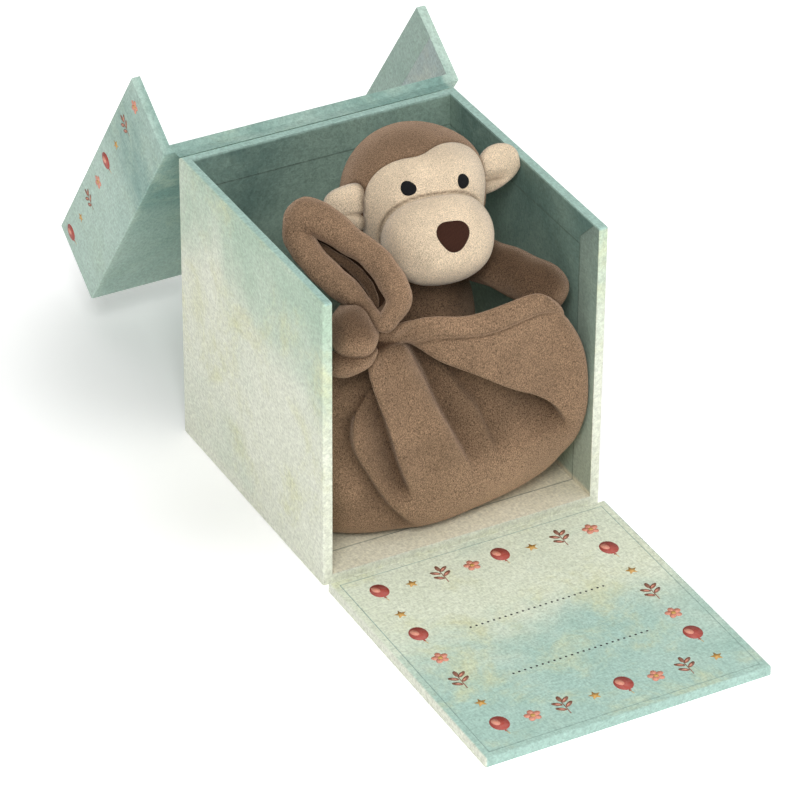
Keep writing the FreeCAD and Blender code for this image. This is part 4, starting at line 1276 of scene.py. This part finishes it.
class KEEPSAKE_OT_papers(bpy.types.Operator):
    """Gives the wrapped boards and linings their papers"""

    bl_idname = "keepsake.papers"
    bl_label = "Paper the box"

    def execute(self, context):
        paper = settings("paper")
        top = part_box("box_wrap")[1].z
        left_wall = (0, -0.0695, -0.0705)
        flap_tones = paper.flap, paper.aqua, paper.straw
        # A painted shade line along the edges of the flap's liner, a dimmed copy of its wash
        line = dimmed(paper.aqua, 0.72)
        box = paper_material(
            "Box paper", (paper.wall, paper.mint, paper.straw), -0.20, 11, 0, BOX_FADES,
            [(paper.rim, [(2, top - 0.0015, top - 0.0003), (0, -0.0695, -0.068)]),
             (paper.wall, [(2, top - 0.0006, top), left_wall]),
             (paper.wall, [(1, -0.0742, -0.0748), left_wall])],
            # Inside the box painted shade darkens the high ground, and the wash is a dimmed copy of
            # the lid's
            (paper.floor, paper.shade, dimmed(paper.teal, 0.55), paper.wall))
        lining = paper_material("Lid lining", (paper.mist, paper.lid, paper.wall), -0.1, 9,
                                PATTERN_TURN)
        papers = {
            "greyboard": board_material(),
            "box_paper": box,
            "liner_paper": box,
            "lid_paper": paper_material("Lid paper", (paper.lid, paper.teal, paper.mint), 0.09, 12,
                                        PATTERN_TURN, LID_FADES),
            "printed_liner": paper_material(
                "Flap paper", flap_tones, -0.22, 12, 0, FLAP_FADES,
                [(line, [edge_run("front_flap_liner", axis, end, LINE_WIDTH)])
                 for axis in (1, 0) for end in (0, 1)]),
            "flap_paper": paper_material(
                "Flap wrap", flap_tones, -0.22, 12, 0, FLAP_FADES,
                [(tone, [edge_run("front_flap_wrap", axis, end, EDGE_WIDTH)])
                 for tone, axis, end in (
                     (paper.rim, 1, 0), (paper.wall, 0, 0), (paper.rim, 0, 1))]),
        }
        for name, slot in SLOTS.items():
            if slot in papers:
                sheets = frame["nodes"][name].data.materials
                sheets.clear()
                sheets.append(
                    lining if slot == "liner_paper" and name.startswith("lid_") else papers[slot])
        return {"FINISHED"}


class KEEPSAKE_OT_print(bpy.types.Operator):
    """Prints the border and the dotted rules inside the flap, and the border on the lid's skirts"""

    bl_idname = "keepsake.print"
    bl_label = "Print the border"

    def execute(self, context):
        inkwell = settings("print")
        inks = [ink_material(name.title() + " ink", getattr(inkwell, name))
                for name in ("brick", "rose", "bark", "ochre")]
        rule = ink_material("Rule ink", inkwell.rule, 0.04)
        tall, inset = inkwell.motif / MM, inkwell.inset / MM
        low, high = (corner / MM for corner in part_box("front_flap_liner"))
        form = bmesh.new()
        width, length = high.x - low.x, high.y - low.y
        order = ("balloon", "star", "sprig", "flower")
        sides = (
            ((low.x + inset, high.y - inset), (1, 0), width - 2 * inset, 7),
            ((high.x - inset, high.y - inset), (0, -1), length - 2 * inset, 6),
            ((high.x - inset, low.y + inset), (-1, 0), width - 2 * inset, 7),
            ((low.x + inset, low.y + inset), (0, 1), length - 2 * inset, 6),
        )
        number = 0
        for start, way, run, count in sides:
            for step in range(count):
                spot = (start[0] + way[0] * run * step / count,
                        start[1] + way[1] * run * step / count, 0)
                stamped(form, order[number % 4], spot, tall)
                number += 1
        dots = bmesh.new()
        for height in RULE_HEIGHTS:
            for across in np.linspace(*RULE_ENDS, RULE_DOTS):
                spot = (low.x + width * across, high.y - length * height)
                disc(dots, spot, (DOT_RADIUS, DOT_RADIUS), sides=12)
        lay = Matrix.Translation((0, 0, high.z))
        ink_film("flap_border_print", form, lay, inks, "front_flap")
        ink_film("flap_rules_print", dots, lay, [rule], "front_flap")
        for name, place, run in skirt_panels():
            band = bmesh.new()
            for step in range(LID_MOTIFS):
                spot = (run * (step + 0.5) / LID_MOTIFS, 0, 0)
                stamped(band, order[step % 4], spot, tall * LID_SHARE)
            ink_film(name + "_print", band, place, inks, "lid")
        return {"FINISHED"}


class KEEPSAKE_OT_toy(bpy.types.Operator):
    """Makes the plush monkey: head, muzzle, eyes, ears, body and arms"""

    bl_idname = "keepsake.toy"
    bl_label = "Make the plush monkey"

    def execute(self, context):
        plush = settings("plush")
        brown = plush_material("Brown plush", plush.brown,
                               root=0.34, tip=1.70, scale=2900, sheen=0.75)
        cream = plush_material("Cream plush", plush.cream,
                               root=0.62, tip=1.32, scale=3000, sheen=0.3)
        black = thread_material("Eye thread", plush.black, (0, 0.6, 0))
        cocoa = thread_material("Nose thread", plush.cocoa, (0, 0.2, 0.3))
        make_head(brown, cream)
        make_muzzle(cream, cocoa)
        make_eyes(black)
        make_ears(cream)
        make_body(brown)
        return {"FINISHED"}


class KEEPSAKE_OT_blanket(bpy.types.Operator):
    """Gathers the blanket round the toy, with its loop and under fold"""

    bl_idname = "keepsake.blanket"
    bl_label = "Drape the blanket"

    def execute(self, context):
        brown = bpy.data.materials["Brown plush"]
        front = make_blanket(brown)
        loop = make_loop(brown)
        under = make_under_fold(brown)
        stuffed = [bpy.data.objects[name] for name in (
            "head_hood", "face_skin", "muzzle_pad", "left_ear_pad", "right_ear_pad", "body_stuffed",
            "left_arm_stuffed", "right_arm_stuffed")]
        contact_shade([*stuffed, front, under, *loop], {"head_hood", "face_skin", "muzzle_pad"})
        return {"FINISHED"}


class KEEPSAKE_PT_panel(bpy.types.Panel):
    """Lists the steps that dress the box"""

    bl_idname = "KEEPSAKE_PT_panel"
    bl_label = "Keepsake Box"
    bl_space_type = "VIEW_3D"
    bl_region_type = "UI"
    bl_category = "Keepsake"

    def draw(self, context):
        for step in STEPS:
            self.layout.operator(step.bl_idname)


STEPS = (KEEPSAKE_OT_stage, KEEPSAKE_OT_papers, KEEPSAKE_OT_print, KEEPSAKE_OT_toy,
         KEEPSAKE_OT_blanket)
GROUPS = {
    "paper": KeepsakePaperSettings,
    "print": KeepsakePrintSettings,
    "plush": KeepsakePlushSettings,
    "stage": KeepsakeStageSettings,
}


def register():
    """Registers the settings, the steps and the panel."""
    for name, kind in GROUPS.items():
        bpy.utils.register_class(kind)
        setattr(bpy.types.Scene, "keepsake_" + name, bpy.props.PointerProperty(type=kind))
    for kind in (*STEPS, KEEPSAKE_PT_panel):
        bpy.utils.register_class(kind)


def unregister():
    """Takes the settings, the steps and the panel away again."""
    for kind in (KEEPSAKE_PT_panel, *reversed(STEPS)):
        bpy.utils.unregister_class(kind)
    for name, kind in GROUPS.items():
        delattr(bpy.types.Scene, "keepsake_" + name)
        bpy.utils.unregister_class(kind)


def main():
    """Dresses the box step by step."""
    register()
    bpy.ops.keepsake.stage()
    bpy.ops.keepsake.papers()
    bpy.ops.keepsake.print()
    bpy.ops.keepsake.toy()
    bpy.ops.keepsake.blanket()


if __name__ == "__main__":
    main()
